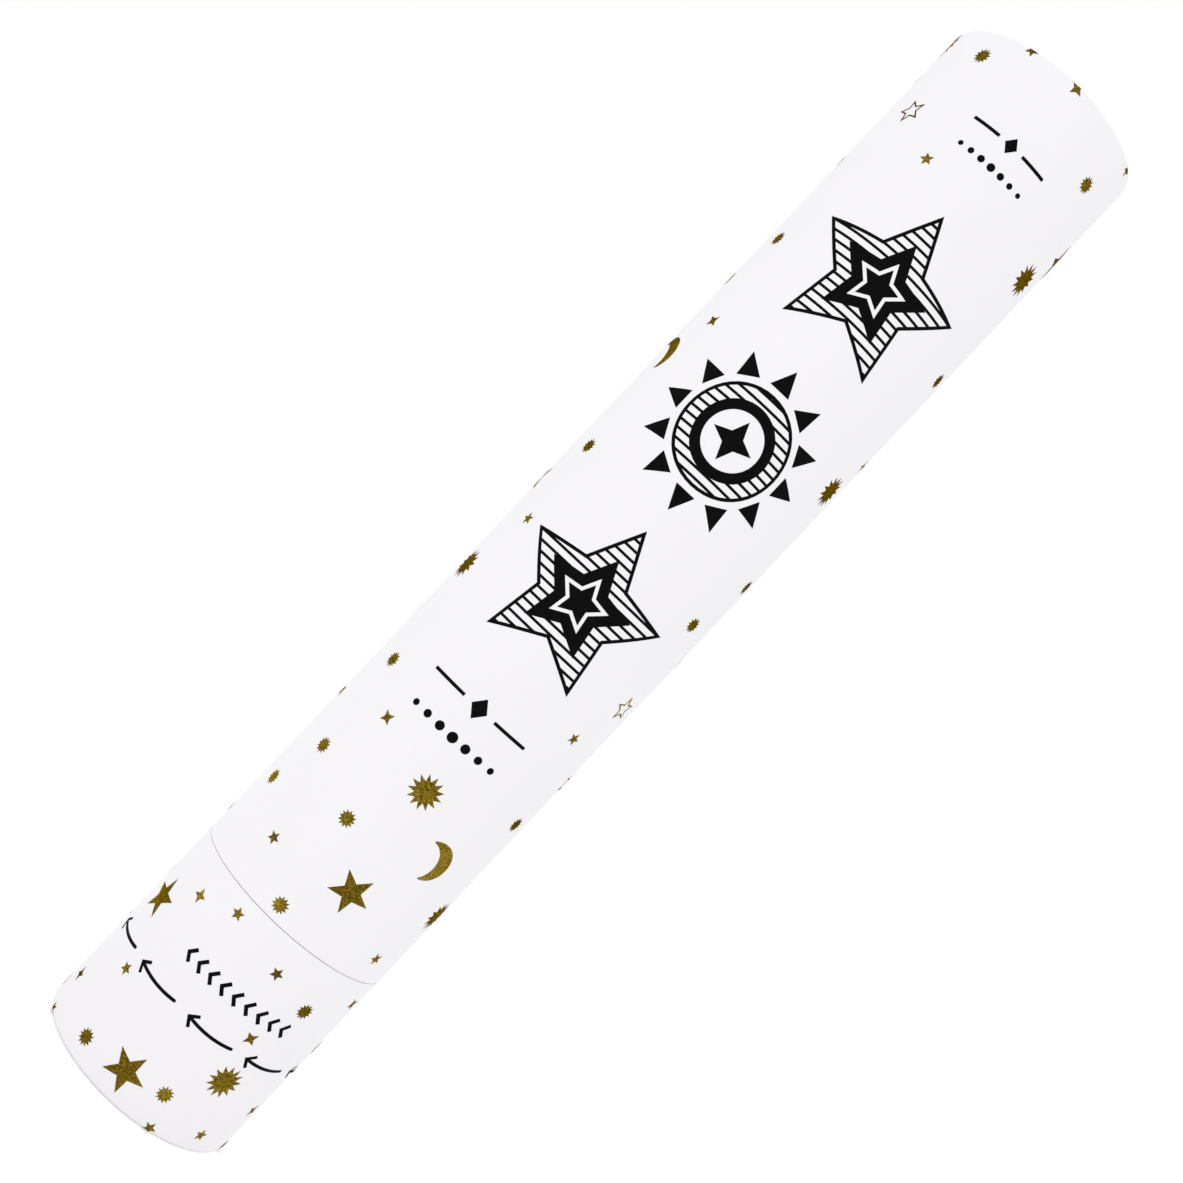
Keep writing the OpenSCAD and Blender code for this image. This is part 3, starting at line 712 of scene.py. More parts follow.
def draw_outline(bm, corners, outer, inner_share, line):
    """The outline of a star."""
    middle = draw_plain(bm, corners, outer, inner_share)
    inset(bm, middle, line)
    bmesh.ops.delete(bm, geom=middle, context="FACES")


def draw_spot(bm, width, height, x=0.0, y=0.0, segments=4):
    """A diamond, or a dot if it has more segments."""
    verts = bmesh.ops.create_circle(bm, cap_ends=True, segments=segments, radius=0.5)["verts"]
    bmesh.ops.scale(bm, verts=verts, vec=(width, height, 1))
    bmesh.ops.translate(bm, verts=verts, vec=(x, y, 0))


def draw_bar(bm, width, height, x=0.0, y=0.0):
    """A level bar."""
    verts = bmesh.ops.create_grid(bm, x_segments=1, y_segments=1, size=0.5)["verts"]
    bmesh.ops.scale(bm, verts=verts, vec=(width, height, 1))
    bmesh.ops.translate(bm, verts=verts, vec=(x, y, 0))


# %% [markdown]
# ## Gold motifs
#
# There are eight kinds: a large and a small star, a large and a small burst, a sparkle, an
# outlined star, a crescent moon and a comet. The crescent is a circle whose right-hand part is
# folded back over a vertical line. The comet is a star with three thin diamonds behind it.

# %% Draw the motifs
SOLID = {
    "large_star": (5, 5.0 * MM, 0.41),
    "small_star": (5, 1.55 * MM, 0.45),
    "burst": (13, 3.9 * MM, 0.6),
    "small_burst": (12, 1.95 * MM, 0.64),
    "sparkle": (4, 1.75 * MM, 0.42),
}
OPEN_STAR = (10, 3.3 * MM, 0.46)
FINE_LINE = 0.36 * MM
MOON_R = 4.7 * MM
MOON_FOLD = 0.35 * MOON_R
MOON_SEGMENTS = 44
COMET_R = 5.4 * MM
COMET_STAR = (5, 2.2 * MM, 0.45, -3.2 * MM)
COMET_TAIL = ((4.2 * MM, -1.4 * MM), (6.4 * MM, 0.0), (4.2 * MM, 1.4 * MM))
COMET_TAIL_W = 0.6 * MM
COMET_TAIL_START = 1.0 * MM
LARGE = ("large_star", "moon", "burst", "open_star", "comet")
SMALL = ("small_star", "sparkle", "small_burst")


def draw_moon(bm):
    """A flat crescent that opens to the right."""
    bmesh.ops.create_circle(bm, cap_ends=True, segments=MOON_SEGMENTS, radius=MOON_R)
    for vert in bm.verts:
        if vert.co.x > MOON_FOLD:
            vert.co.x = 2 * MOON_FOLD - vert.co.x
    bmesh.ops.triangulate(bm, faces=bm.faces[:])


def draw_comet(bm):
    """A star that flies to the left, and its tail."""
    draw_star(bm, *COMET_STAR)
    for length, y in COMET_TAIL:
        draw_spot(bm, length, COMET_TAIL_W, length / 2 - COMET_TAIL_START, y)


def draw_motif(kind, turn):
    """A flat motif, turned about its own centre."""
    bm = bmesh.new()
    if kind == "moon":
        draw_moon(bm)
    elif kind == "comet":
        draw_comet(bm)
    elif kind == "open_star":
        draw_outline(bm, *OPEN_STAR, FINE_LINE)
    else:
        draw_star(bm, *SOLID[kind])
    bmesh.ops.rotate(bm, verts=bm.verts[:], cent=(0, 0, 0), matrix=Matrix.Rotation(turn, 3, "Z"))
    return bm


reach_of = {kind: shape[1] for kind, shape in SOLID.items()}
reach_of |= {"moon": MOON_R, "comet": COMET_R, "open_star": OPEN_STAR[1]}
print(len(reach_of), "kinds of motif")

# %% [markdown]
# ## Scattering the motifs
#
# A scatter that is truly random clumps. Here each place is a golden angle further round the
# tube and a small step higher than the last, which spreads the places evenly without rows,
# and a little seeded chance breaks the regularity. A motif is taken if it keeps clear of its
# neighbours, well clear of its own kind, and out of the zones of the black print and the
# paper's cut edge. The scatter stays away from the rims. A ring of further motifs is tried
# there afterwards, each with its outer end turned over the rim, because a printer's sheet
# runs on past the edge.

# %% Lay out the scatter
GOLDEN_ANGLE = math.radians(137.508)
MOTIF_GAP = 2.4 * MM
OWN_KIND_GAP = 8 * MM
LARGE_SHARE = 0.42
RIM_MARGIN = 2.0 * MM
SEAM_MARGIN = 1.2 * MM
CHANCE_REACH = 2.5 * MM
RIM_KINDS = SMALL + LARGE[:3]
RIM_MOTIFS = 13
RIM_STRAY = 0.3
TURNED_REACH = RIM_ARC + 0.6 * MM
TURNED_LEAST = 0.5


def fits(kind, angle, z, placed, keep_out):
    """Whether a motif has room. keep_out has (angle, half angle, low z, high z)."""
    reach = reach_of[kind]
    for centre, half, low, high in keep_out:
        near = abs(around(angle - centre)) < half + reach / tube_r
        if near and low - reach < z < high + reach:
            return False
    for other, other_angle, other_z, _ in placed:
        gap = OWN_KIND_GAP if other == kind else MOTIF_GAP
        distance = math.hypot(around(angle - other_angle) * tube_r, z - other_z)
        if distance < reach + reach_of[other] + gap:
            return False
    return True


def scatter(low, high, area_each, keep_out, seed):
    """Places motifs between two heights: (kind, angle, z, turn) of each."""
    chance = random.Random(seed)
    rise = area_each / (2 * math.pi * tube_r)
    placed = []
    for index in range(int((high - low) / rise)):
        angle = index * GOLDEN_ANGLE + chance.uniform(-1, 1) * CHANCE_REACH / tube_r
        z = low + index * rise + chance.uniform(-1, 1) * CHANCE_REACH
        kinds = chance.sample(SMALL, len(SMALL))
        if chance.random() < LARGE_SHARE:
            kinds = chance.sample(LARGE, len(LARGE)) + kinds
        for kind in kinds:
            inside_z = min(high - reach_of[kind], max(low + reach_of[kind], z))
            if fits(kind, angle, inside_z, placed, keep_out):
                placed.append((kind, angle, inside_z, chance.uniform(-math.pi, math.pi)))
                break
    return placed


def turn_over(rim, placed, keep_out, seed):
    """Adds motifs at a rim, with their outer ends turned over it."""
    rim_z, inwards = rim
    chance = random.Random(seed)
    for index in range(RIM_MOTIFS):
        angle = (index + chance.uniform(-RIM_STRAY, RIM_STRAY)) * 2 * math.pi / RIM_MOTIFS
        kind = chance.choice(RIM_KINDS)
        inside = RIM_R + reach_of[kind] - chance.uniform(TURNED_LEAST, 1) * TURNED_REACH
        z = rim_z + inwards * inside
        if fits(kind, angle, z, placed, keep_out):
            placed.append((kind, angle, z, chance.uniform(-math.pi, math.pi)))


# %% [markdown]
# ## Zones for the black print
#
# A designer places the large black print first and lets the small motifs fall round it. Each
# zone is a patch of the tube that the motifs stay out of: the angle of its middle, half the
# angle that it covers, its lowest height and its highest.

# %% Places and zones of the black print
ORNAMENT_Z = (229 * MM, 185.5 * MM, 140 * MM)
DIVIDER_Z = 106 * MM
CREST_Z = 266 * MM
ARROW_Z = 24 * MM
ARROW_REACH = 2.2 * MM
HINT_Z = 33 * MM
HINT_REACH = 3 * MM
HINT_ANGLE = math.radians(9)
CUT_EDGE_REACH = 0.6 * MM

cut_edge_zone = (LAP_EDGE + math.pi / 2, CUT_EDGE_REACH / tube_r, 0.0, mouth_z)
ornament_zone = (0.0, math.radians(48), 121 * MM, 251 * MM)
divider_zone = (0.0, math.radians(36), 98 * MM, 115 * MM)
crest_zone = (0.0, math.radians(24), 259 * MM, 273 * MM)
arrow_zone = (0.0, math.pi, ARROW_Z - ARROW_REACH, ARROW_Z + ARROW_REACH)
hint_zone = (HINT_ANGLE, math.radians(40), HINT_Z - HINT_REACH, HINT_Z + HINT_REACH)
barrel_zones = [cut_edge_zone, ornament_zone, divider_zone, crest_zone]
base_zones = [cut_edge_zone, arrow_zone, hint_zone]
print(len(barrel_zones), "zones on the barrel and", len(base_zones), "on the base")

# %% Print the gold motifs
BARREL_AREA_EACH = 280 * MM**2
BASE_AREA_EACH = 150 * MM**2
BARREL_SEED = 359
BASE_SEED = 567
MOUTH_SEED = 26
BOTTOM_SEED = 16


def print_motifs(motifs, name, body):
    """Rolls a list of placed motifs onto the tube as one piece of foil print."""
    sheet = bmesh.new()
    for kind, angle, z, turn in motifs:
        roll_on(sheet, draw_motif(kind, turn), angle, z)
    add_piece(sheet, name, body, "print_foil")


barrel_motifs = scatter(
    barrel_low.z + SEAM_MARGIN, mouth_z - RIM_MARGIN, BARREL_AREA_EACH, barrel_zones, BARREL_SEED
)
base_motifs = scatter(
    RIM_MARGIN, base_high.z - SEAM_MARGIN, BASE_AREA_EACH, base_zones, BASE_SEED
)
turn_over(RIMS[1], barrel_motifs, barrel_zones, MOUTH_SEED)
turn_over(RIMS[0], base_motifs, base_zones, BOTTOM_SEED)
print_motifs(barrel_motifs, "barrel_foil_print", "barrel")
print_motifs(base_motifs, "base_foil_print", "base")
print(len(barrel_motifs), "motifs on the barrel and", len(base_motifs), "on the base")

# %% [markdown]
# ## Hatched ornaments
#
# Three large black ornaments run up the front: a star, a sun and a star, drawn like an old
# engraving. Each has a thin outline, a band of level lines and a solid inner rim. One face
# becomes all three when it is inset three times. Level cuts then divide the band, and its
# white strips are deleted, as is the open middle.

# %% Draw the ornaments
OUTLINE_W = 0.75 * MM
BAND_W = 2.9 * MM
BAR_W = 2.3 * MM
HATCH_PITCH = 1.87 * MM
HATCH_W = 0.6 * MM
ENGRAVED_STAR = (10, 20 * MM, 0.5)
STAR_HEART = (5, 4.8 * MM, 0.5)
ENGRAVED_SUN = (48, 12.6 * MM, 1.0)
SUN_HEART = (4, 5.2 * MM, 0.42)
SUN_RAYS = 12
RAY_SIZE = (2.9 * MM, 3.6 * MM, 1)
RAY_RADIUS = 15.8 * MM


def hatch(bm, faces):
    """Cuts faces by level lines and deletes the white strips between the lines."""
    heights = [vert.co.y for face in faces for vert in face.verts]
    first = math.floor(min(heights) / HATCH_PITCH)
    last = math.ceil(max(heights) / HATCH_PITCH)
    lines = [line * HATCH_PITCH for line in range(first, last)]
    for edge_y in sorted(line + part for line in lines for part in (0, HATCH_W)):
        edges = {edge for face in faces for edge in face.edges}
        verts = {vert for face in faces for vert in face.verts}
        divided = bmesh.ops.bisect_plane(
            bm, geom=[*verts, *edges, *faces], dist=WELD,
            plane_co=(0, edge_y, 0), plane_no=(0, 1, 0),
        )["geom"]
        faces = [part for part in divided if isinstance(part, bmesh.types.BMFace)]
    white = [face for face in faces if face.calc_center_median().y % HATCH_PITCH > HATCH_W]
    bmesh.ops.delete(bm, geom=white, context="FACES")


def draw_banded(bm, corners, outer, inner_share):
    """A star or disc with an outline, a hatched band, a solid rim and an open middle."""
    middle = draw_plain(bm, corners, outer, inner_share)
    _, band, _ = [inset(bm, middle, width) for width in (OUTLINE_W, BAND_W, BAR_W)]
    bmesh.ops.delete(bm, geom=middle, context="FACES")
    hatch(bm, band)


def draw_engraved_star(bm):
    """A hatched star round a small solid one."""
    draw_banded(bm, *ENGRAVED_STAR)
    draw_star(bm, *STAR_HEART)


def draw_engraved_sun(bm):
    """A hatched disc round a solid sparkle, inside a ring of rays."""
    draw_banded(bm, *ENGRAVED_SUN)
    draw_star(bm, *SUN_HEART)
    for index in range(SUN_RAYS):
        ray = bmesh.ops.create_circle(bm, cap_ends=True, segments=3, radius=1.0)["verts"]
        bmesh.ops.scale(bm, verts=ray, vec=RAY_SIZE)
        bmesh.ops.translate(bm, verts=ray, vec=(0, RAY_RADIUS, 0))
        bmesh.ops.rotate(
            bm, verts=ray, cent=(0, 0, 0),
            matrix=Matrix.Rotation(index * 2 * math.pi / SUN_RAYS, 3, "Z"),
        )


# %% [markdown]
# ## Dividers, arrows and chevrons
#
# A small black divider closes the row of large ornaments at its foot, and a smaller copy
# crowns it near the mouth: two rules with a diamond, and a row of dots. Round the base runs a
# ring of open-headed arrows, each slightly bowed like a pen stroke. They point the way that
# the base turns, and a row of chevrons above them repeats it.

# %% Draw the dividers
DIVIDER_REACH = 13 * MM
DIVIDER_RISE = 4 * MM
DIAMOND_W = 4.2 * MM
DIAMOND_TALL = 1.25
DOTS_A_SIDE = 3
DOT_D = 2.4 * MM
DOT_SHRINK = 0.3 * MM
DOT_PITCH = 3.6 * MM
DOT_SEGMENTS = 20


def draw_divider(bm, reach, diamond):
    """Two rules with a diamond between them."""
    rule = reach - diamond
    for side in (-1, 1):
        draw_bar(bm, rule, OUTLINE_W, side * (diamond + rule / 2))
    draw_spot(bm, diamond, DIAMOND_TALL * diamond)


def print_divider(sheet, z, size):
    """A divider above a row of dots that shrink outwards, at a share of its full size."""
    rules = bmesh.new()
    draw_divider(rules, DIVIDER_REACH * size, DIAMOND_W * size)
    roll_on(sheet, rules, 0.0, z + DIVIDER_RISE * size)
    dots = bmesh.new()
    for index in range(-DOTS_A_SIDE, DOTS_A_SIDE + 1):
        dot_d = (DOT_D - DOT_SHRINK * abs(index)) * size
        draw_spot(dots, dot_d, dot_d, index * DOT_PITCH * size, 0.0, DOT_SEGMENTS)
    roll_on(sheet, dots, 0.0, z - DIVIDER_RISE * size)


# %% Draw the arrows
ARROW_LINE = 0.74 * MM
ARROW_BOW = 0.5 * MM
SHAFT_STEPS = 12
TAIL_SEGMENTS = 16
HEAD_REACH = 2.3 * MM
HEAD_ANGLE = math.radians(46)
HEAD_LIFT = 0.002 * MM


def draw_head(bm, reach, line, half_angle):
    """An open arrow head with its tip at the origin, pointing to the left."""
    along = Vector((math.cos(half_angle), math.sin(half_angle), 0)) * reach
    side = Vector((-math.sin(half_angle), math.cos(half_angle), 0)) * line / 2
    apex = Vector((line / 2 / math.sin(half_angle), 0, 0))
    upper = [-apex, along + side, along - side, apex]
    lower = [Vector((point.x, -point.y, 0)) for point in upper[2:0:-1]]
    verts = [bm.verts.new(point) for point in upper + lower]
    bmesh.ops.triangulate(bm, faces=[bm.faces.new(verts)])
    return verts


def draw_arrow(bm, length, line, bow):
    """A bowed arrow that points to the left."""
    shaft = bmesh.ops.create_grid(
        bm, x_segments=SHAFT_STEPS, y_segments=1, size=0.5
    )["verts"]
    for vert in shaft:
        sag = bow * (1 - (2 * vert.co.x) ** 2)
        vert.co = (vert.co.x * length, vert.co.y * line - sag, 0)
    draw_spot(bm, line, line, length / 2, 0.0, TAIL_SEGMENTS)
    lean = Matrix.Rotation(-math.atan(4 * bow / length), 4, "Z")
    place = Matrix.Translation((-length / 2, 0, HEAD_LIFT)) @ lean
    bmesh.ops.transform(bm, verts=draw_head(bm, HEAD_REACH, line, HEAD_ANGLE), matrix=place)


# %% Print the barrel in black
CREST_SIZE = 0.76

barrel_ink = bmesh.new()
for z, draw in zip(ORNAMENT_Z, (draw_engraved_star, draw_engraved_sun, draw_engraved_star)):
    ornament = bmesh.new()
    draw(ornament)
    roll_on(barrel_ink, ornament, 0.0, z)

print_divider(barrel_ink, DIVIDER_Z, 1.0)
print_divider(barrel_ink, CREST_Z, CREST_SIZE)
add_piece(barrel_ink, "barrel_ink_print", "barrel", "print_ink")

# %% Print the base in black
ARROWS = 10
ARROW_SHARE = 0.72
ARROW_START = 0.36
CHEVRONS = 9
CHEVRON_PITCH = 3.3 * MM
CHEVRON = (2.1 * MM, 0.85 * MM, math.radians(52))

arrow_step = 2 * math.pi / ARROWS
base_ink = bmesh.new()
for index in range(ARROWS):
    arrow = bmesh.new()
    draw_arrow(arrow, ARROW_SHARE * arrow_step * tube_r, ARROW_LINE, ARROW_BOW)
    roll_on(base_ink, arrow, (index + ARROW_START) * arrow_step, ARROW_Z)
for index in range(CHEVRONS):
    chevron = bmesh.new()
    draw_head(chevron, *CHEVRON)
    angle = HINT_ANGLE + (index - CHEVRONS // 2) * CHEVRON_PITCH / tube_r
    roll_on(base_ink, chevron, angle, HINT_Z)
add_piece(base_ink, "base_ink_print", "base", "print_ink")

# %% [markdown]
# ## Plastics, metals and rubber
#
# The mechanism is hidden until the popper comes apart, but it is finished all the same. Each
# kind of material is one function: moulded plastic has a fine satin grain and broad flow
# marks, metal has lines along the way that it was drawn, and rubber is dark and dull.

# %% Finishes for the mechanism
def plastic_finish(name, colour, roughness):
    """Moulded plastic with a satin grain."""
    tree, shader = new_finish(name, {})
    grain = use_group(tree, grain_group, {"Fine scale": 3000.0, "Broad scale": 110.0})
    tint_by(tree, shader, grain["Patches"], colour, 0.93, 1.05)
    roughen_by(tree, shader, grain["Grain"], roughness - 0.06, roughness + 0.08)
    raise_by(tree, shader, grain["Grain"], 0.012 * MM)


def metal_finish(name, colour, roughness, coat=0.0):
    """Drawn or rolled metal with fine parallel lines, lacquered or bare."""
    tree, shader = new_finish(name, {"Metallic": 1.0, "Coat Weight": coat})
    lines = use_group(tree, line_group, {"Line scale": 4200.0, "Length share": 0.03})
    tint_by(tree, shader, lines["Lines"], colour, 0.94, 1.04)
    roughen_by(tree, shader, lines["Lines"], roughness - 0.06, roughness + 0.08)
    raise_by(tree, shader, lines["Lines"], 0.003 * MM)


def rubber_finish(name, colour):
    """Dull moulded rubber."""
    tree, shader = new_finish(name, {"Specular IOR Level": 0.35})
    grain = use_group(tree, grain_group, {"Fine scale": 4200.0, "Broad scale": 300.0})
    tint_by(tree, shader, grain["Grain"], colour, 0.7, 1.7)
    roughen_by(tree, shader, grain["Patches"], 0.62, 0.82)
    raise_by(tree, shader, grain["Grain"], 0.02 * MM)


plastic_finish("black_plastic", (0.028, 0.028, 0.03), 0.42)
plastic_finish("natural_plastic", (0.76, 0.75, 0.7), 0.4)
plastic_finish("red_plastic", (0.46, 0.02, 0.026), 0.38)
plastic_finish("white_plastic", (0.85, 0.845, 0.84), 0.4)
metal_finish("can_aluminium", (0.64, 0.65, 0.67), 0.34)
metal_finish("lacquered_tin", (0.72, 0.52, 0.2), 0.3, coat=0.7)

tree, shader = new_finish("spring_steel", {"Metallic": 1.0})
grain = use_group(tree, grain_group, {"Fine scale": 5000.0, "Broad scale": 220.0})
colour_by(tree, shader, grain["Patches"], (0.0, (0.36, 0.36, 0.38)), (1.0, (0.5, 0.5, 0.51)))
roughen_by(tree, shader, grain["Grain"], 0.2, 0.34)
rubber_finish("seal_rubber", (0.02, 0.02, 0.02))
print("finishes for the mechanism ready")

# %% [markdown]
# ## Springs
#
# A compression spring is wound with its last turns lying close together, so that it stands
# square on its seat. A ring of points, spun round the axis while it also climbs, makes the
# wire: first slowly for the closed turn, then in long steps for the free turns, then slowly
# again.

# %% Wind the springs
WIRE_SIDES = 12
TURN_STEPS = 32
CLOSED_RISE = 1.06


def wind(box, wire_d, turns):
    """A spring that fills its CAD node's box, with a closed turn at each end."""
    low, high = box
    bm = bmesh.new()
    bmesh.ops.create_circle(bm, segments=WIRE_SIDES, radius=wire_d / 2)
    bmesh.ops.rotate(
        bm, verts=bm.verts[:], cent=(0, 0, 0), matrix=Matrix.Rotation(math.pi / 2, 3, "X")
    )
    bmesh.ops.translate(bm, verts=bm.verts[:], vec=(high.x - wire_d / 2, 0, low.z + wire_d / 2))
    closed_rise = wire_d * CLOSED_RISE
    free_rise = high.z - low.z - wire_d - 2 * closed_rise
    geometry = bm.verts[:] + bm.edges[:]
    for rise, run in ((closed_rise, 1), (free_rise, turns - 2), (closed_rise, 1)):
        steps = TURN_STEPS * run
        geometry = bmesh.ops.spin(
            bm, geom=geometry, axis=(0, 0, 1), cent=(0, 0, 0), angle=2 * math.pi * run,
            steps=steps, dvec=(0, 0, rise / steps),
        )["geom_last"]
    ends = [edge for edge in bm.edges if edge.is_boundary]
    bmesh.ops.holes_fill(bm, edges=ends, sides=WIRE_SIDES)
    return bm


RETURN_WIRE_D = 1.2 * MM
RETURN_TURNS = 10
VALVE_WIRE_D = 0.5 * MM
VALVE_TURNS = 6

return_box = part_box("return_spring")
valve_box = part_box("valve_spring")
return_coil = add_piece(
    wind(return_box, RETURN_WIRE_D, RETURN_TURNS),
    "return_spring_coil", "barrel", "spring_steel", ["return_spring"],
)
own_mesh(return_coil)
valve_coil = add_piece(
    wind(valve_box, VALVE_WIRE_D, VALVE_TURNS),
    "valve_spring_coil", "carrier", "spring_steel", ["valve_spring"],
)
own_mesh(valve_coil)

# %% [markdown]
# ## Confetti and wad
#
# The charge is small paper discs in neat bundles, three to a layer. Solid cylinders
# would look like coins, so each bundle becomes a stack of thin packs that are not quite in
# line. Each pack is turned and pushed a little off the line by seeded chance.

# %% Finishes for the charge
def tissue_finish(name, colour, metallic, roughness):
    """Confetti paper, with the edges of its leaves as fine level lines."""
    tree, shader = new_finish(name, {"Metallic": metallic})
    leaves = use_group(tree, line_group, {"Line scale": 40.0, "Length share": 160.0})
    grain = use_group(tree, grain_group, {"Fine scale": 1800.0, "Broad scale": 90.0})
    tint_by(tree, shader, leaves["Lines"], colour, 0.72, 1.1)
    roughen_by(tree, shader, grain["Grain"], roughness - 0.08, roughness + 0.08)
    raise_by(tree, shader, leaves["Lines"], 0.05 * MM)


tissue_finish("gold_paper", (0.57, 0.41, 0.12), 0.9, 0.36)
tissue_finish("white_paper", (0.86, 0.86, 0.85), 0.0, 0.8)
tissue_finish("black_paper", (0.02, 0.02, 0.021), 0.0, 0.7)

tree, shader = new_finish("wad_foam", {"Roughness": 0.85})
place = add_node(tree, "TexCoord").outputs["Object"]
cells = add_node(tree, "TexVoronoi", {"Vector": place, "Scale": 1100.0}).outputs["Distance"]
# The foam is darker at the middle of each cell, where the bump below sinks a pit: painted shade
# in the pits.
colour_by(tree, shader, cells, (0.0, (0.7, 0.7, 0.68)), (0.6, (0.86, 0.86, 0.84)))
raise_by(tree, shader, cells, 0.2 * MM)
print("finishes for the charge ready")

# %% Stack the confetti
PACKS = 7
PACK_SIDES = 22
PACK_SHIFT = 0.35 * MM
PACK_GAP_SHARE = 0.12
CONFETTI_SEED = 21


def loose_parts(node):
    """The lowest and highest corner of each separate solid in a CAD node, from the bottom up."""
    bm = bmesh.new()
    bm.from_mesh(frame["nodes"][node].data)
    bmesh.ops.remove_doubles(bm, verts=bm.verts[:], dist=MERGE_DISTANCE)
    left = set(bm.verts)
    boxes = []
    while left:
        open_ends = [left.pop()]
        part = list(open_ends)
        while open_ends:
            vert = open_ends.pop()
            near = {edge.other_vert(vert) for edge in vert.link_edges} & left
            left -= near
            open_ends.extend(near)
            part.extend(near)
        corners = list(zip(*(vert.co for vert in part)))
        boxes.append((Vector(map(min, corners)), Vector(map(max, corners))))
    bm.free()
    # A set has no order of its own, so the seeded draws would fall on other bundles each run.
    boxes.sort(key=lambda box: [round(value / MM, 2) for value in box[0].zxy])
    return boxes


def stack_bundles(node, chance):
    """Every bundle of a CAD node as a stack of thin packs of paper discs."""
    bm = bmesh.new()
    for low, high in loose_parts(node):
        centre = (low + high) / 2
        radius = (high.x - low.x) / 2 - PACK_SHIFT
        pack = (high.z - low.z) / PACKS
        for index in range(PACKS):
            heading = chance.uniform(0, 2 * math.pi)
            off_line = chance.uniform(0, PACK_SHIFT)
            shift = Vector((math.cos(heading), math.sin(heading), 0)) * off_line
            middle = Vector((centre.x, centre.y, low.z + (index + 0.5) * pack))
            bmesh.ops.create_cone(
                bm, cap_ends=True, segments=PACK_SIDES, radius1=radius, radius2=radius,
                depth=pack * (1 - PACK_GAP_SHARE),
                matrix=Matrix.Translation(middle + shift) @ Matrix.Rotation(heading, 4, "Z"),
            )
    return bm


chance = random.Random(CONFETTI_SEED)
for colour in ("gold", "white", "black"):
    node = f"confetti_{colour}"
    add_piece(stack_bundles(node, chance), f"{node}_packs", "charge", f"{colour}_paper", [node])

# %% [markdown]
# ## Foam wad
#
# The wad that carries the charge is a disc cut from foam sheet. The cutter squeezes the foam,
# which springs back afterwards, so its wall is slightly hollow and a little ragged. A turned
# disc with several rows of points up its wall can follow that.

# %% Foam wad
FOAM_COLUMNS = 128
FOAM_ROWS = 8
FOAM_HOLLOW = 0.35 * MM
FOAM_EDGE = 0.5 * MM
FOAM_EDGE_SEGMENTS = 4
FOAM_RAGGED = 0.12
FOAM_RAGGED_SCALE = 600

foam_low, foam_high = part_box("wad_foam")
bottom_edge = (foam_high.x, foam_low.z)
top_edge = (foam_high.x, foam_high.z)
wall = points_between(bottom_edge, top_edge, FOAM_ROWS)
bm = turned(
    [(0, foam_low.z), bottom_edge, *wall, (0, foam_high.z)],
    (1, 1 + FOAM_ROWS), FOAM_EDGE, FOAM_EDGE_SEGMENTS, FOAM_COLUMNS,
)
for vert in bm.verts:
    if math.hypot(vert.co.x, vert.co.y) > foam_high.x - FOAM_EDGE / 2:
        share = (vert.co.z - foam_low.z) / (foam_high.z - foam_low.z)
        ragged = abs(FOAM_RAGGED * noise.noise(vert.co * FOAM_RAGGED_SCALE))
        push(vert, -FOAM_HOLLOW * (math.sin(math.pi * share) ** 2 + ragged))
foam_pad = add_piece(bm, "wad_foam_pad", "charge", "wad_foam", ["wad_foam"])

# %% [markdown]
# ## Closure
#
# The mouth is closed by a light cup, faced with gold foil paper. The foil takes a shallow ring
# where it was pressed and crinkles a little, so the disc is a fine round grid that is pushed
# down by a ring-shaped profile and by noise. The grid comes from a straight row of points,
# spun round the axis. In the finish, a Voronoi pattern gives the flat facets between creases:
# the creases are a bump, and each facet gets its own lighter or darker gold, which is a
# painted reflection standing in for the light that differently tilted facets catch.

# %% Values of the facing
FACING_RINGS = 40
FACING_COLUMNS = 160
FACING_EDGE_R = 0.15 * MM
FACING_EDGE_SEGMENTS = 3
TOP_LAYER = 0.01 * MM
RING_SHARE = 0.8
RING_W_SHARE = 0.035
RING_DEPTH = 0.16 * MM
CRINKLE_DEPTH = 0.07 * MM
CRINKLE_SCALE = 260
FINE_CRINKLE_SCALE = 700
EDGE_FADE = 12
FACET_SCALE = 210.0

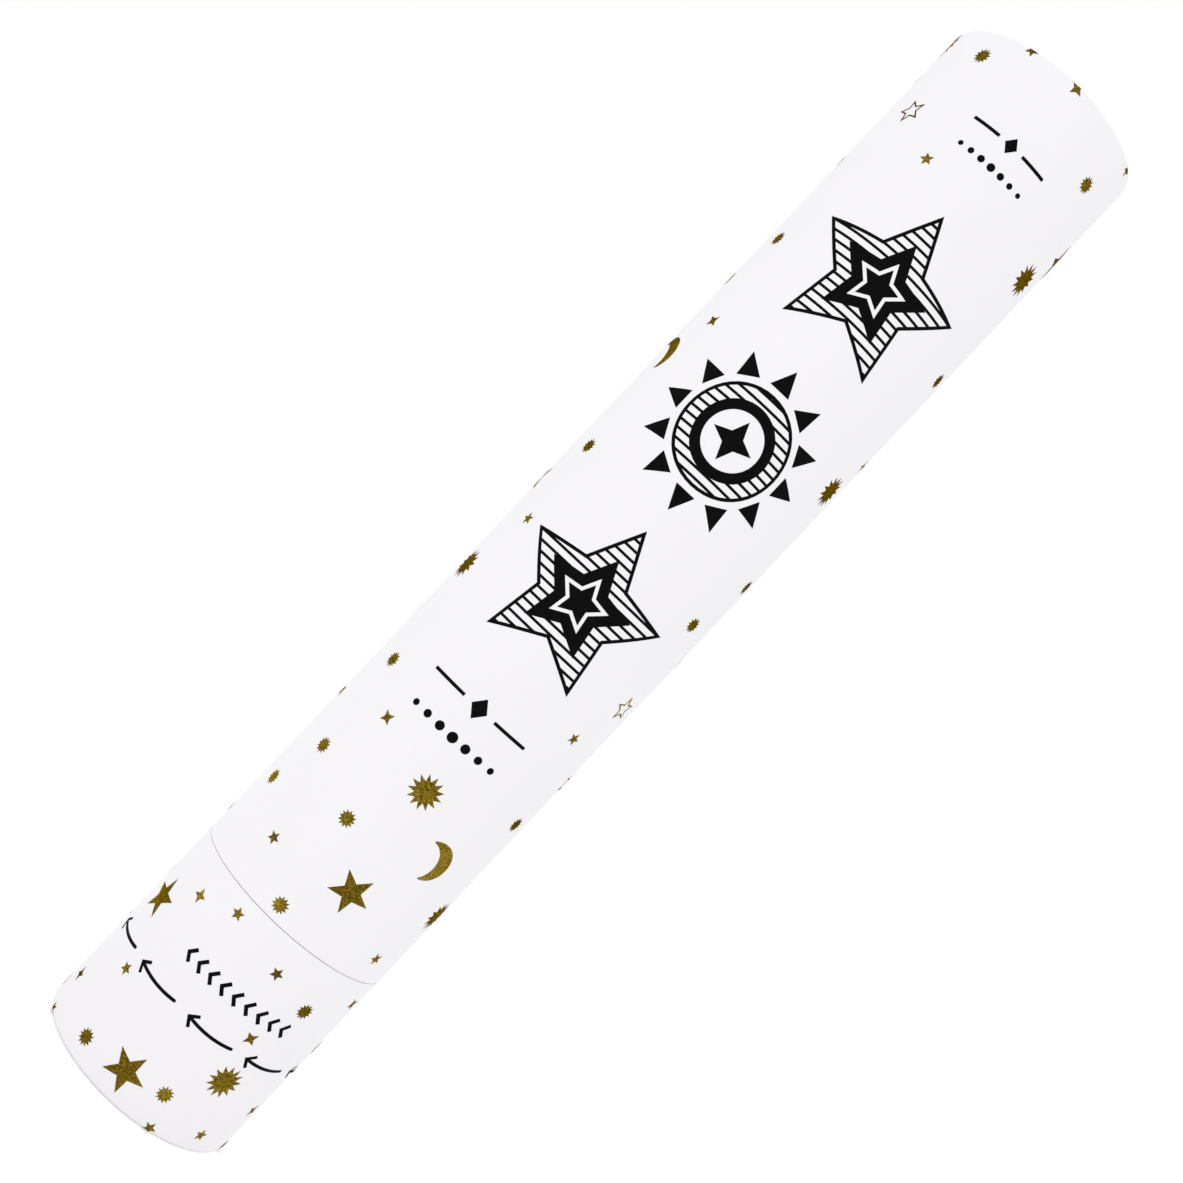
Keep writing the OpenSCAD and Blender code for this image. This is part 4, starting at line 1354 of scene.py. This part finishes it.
# %% Foil of the facing
tree, shader = new_finish("facing_foil", {"Metallic": 1.0})
grain = use_group(tree, grain_group, {"Fine scale": 2200.0, "Broad scale": 90.0})
place = add_node(tree, "TexCoord").outputs["Object"]
facets = {"Vector": place, "Scale": FACET_SCALE}
# Each facet's own lighter or darker gold is a painted reflection: it stands in for the light
# that differently tilted facets catch.
facet_reflection_tone = add_node(tree, "TexVoronoi", facets).outputs["Color"]
crease = add_node(tree, "TexVoronoi", facets, feature="DISTANCE_TO_EDGE").outputs["Distance"]
tone = mix_masks(tree, facet_reflection_tone, grain["Patches"], 0.5)
colour_by(tree, shader, tone, (0.1, (0.42, 0.27, 0.06)), (0.9, (0.6, 0.42, 0.13)))
roughen_by(tree, shader, grain["Grain"], 0.26, 0.36)
raise_by(tree, shader, crease, 0.3 * MM)
print("foil of the facing ready")

# %% Shape of the facing
face_edge = (facing_high.x, facing_high.z)
face = points_between(face_edge, (0, facing_high.z), FACING_RINGS)
bm = turned(
    [(0, facing_low.z), (facing_high.x, facing_low.z), face_edge, *face],
    (2,), FACING_EDGE_R, FACING_EDGE_SEGMENTS, FACING_COLUMNS,
)
for vert in bm.verts:
    if vert.co.z > facing_high.z - TOP_LAYER:
        share = math.hypot(vert.co.x, vert.co.y) / facing_high.x
        ring = math.exp(-(((share - RING_SHARE) / RING_W_SHARE) ** 2))
        fine_crinkle = noise.noise(vert.co * FINE_CRINKLE_SCALE) / 2
        crinkle = noise.noise(vert.co * CRINKLE_SCALE) + fine_crinkle
        inner = smooth_step((1 - share) * EDGE_FADE)
        vert.co.z -= RING_DEPTH * ring + CRINKLE_DEPTH * (0.5 + crinkle) * inner
add_piece(bm, "closure_foil", "closure", "facing_foil", ["closure_facing"])

# %% [markdown]
# ## Finishes for the CAD nodes
#
# The CAD pieces whose shape is right stay as they are. The record says which material slot
# each one has, so one loop gives every node its finish.

# %% Dress the CAD nodes
for part in frame["record"]["subparts"]:
    mesh = frame["nodes"][part["node"]].data
    mesh.materials.clear()
    mesh.materials.append(bpy.data.materials[part["material_slot"]])
print(len(frame["nodes"]), "CAD nodes dressed")
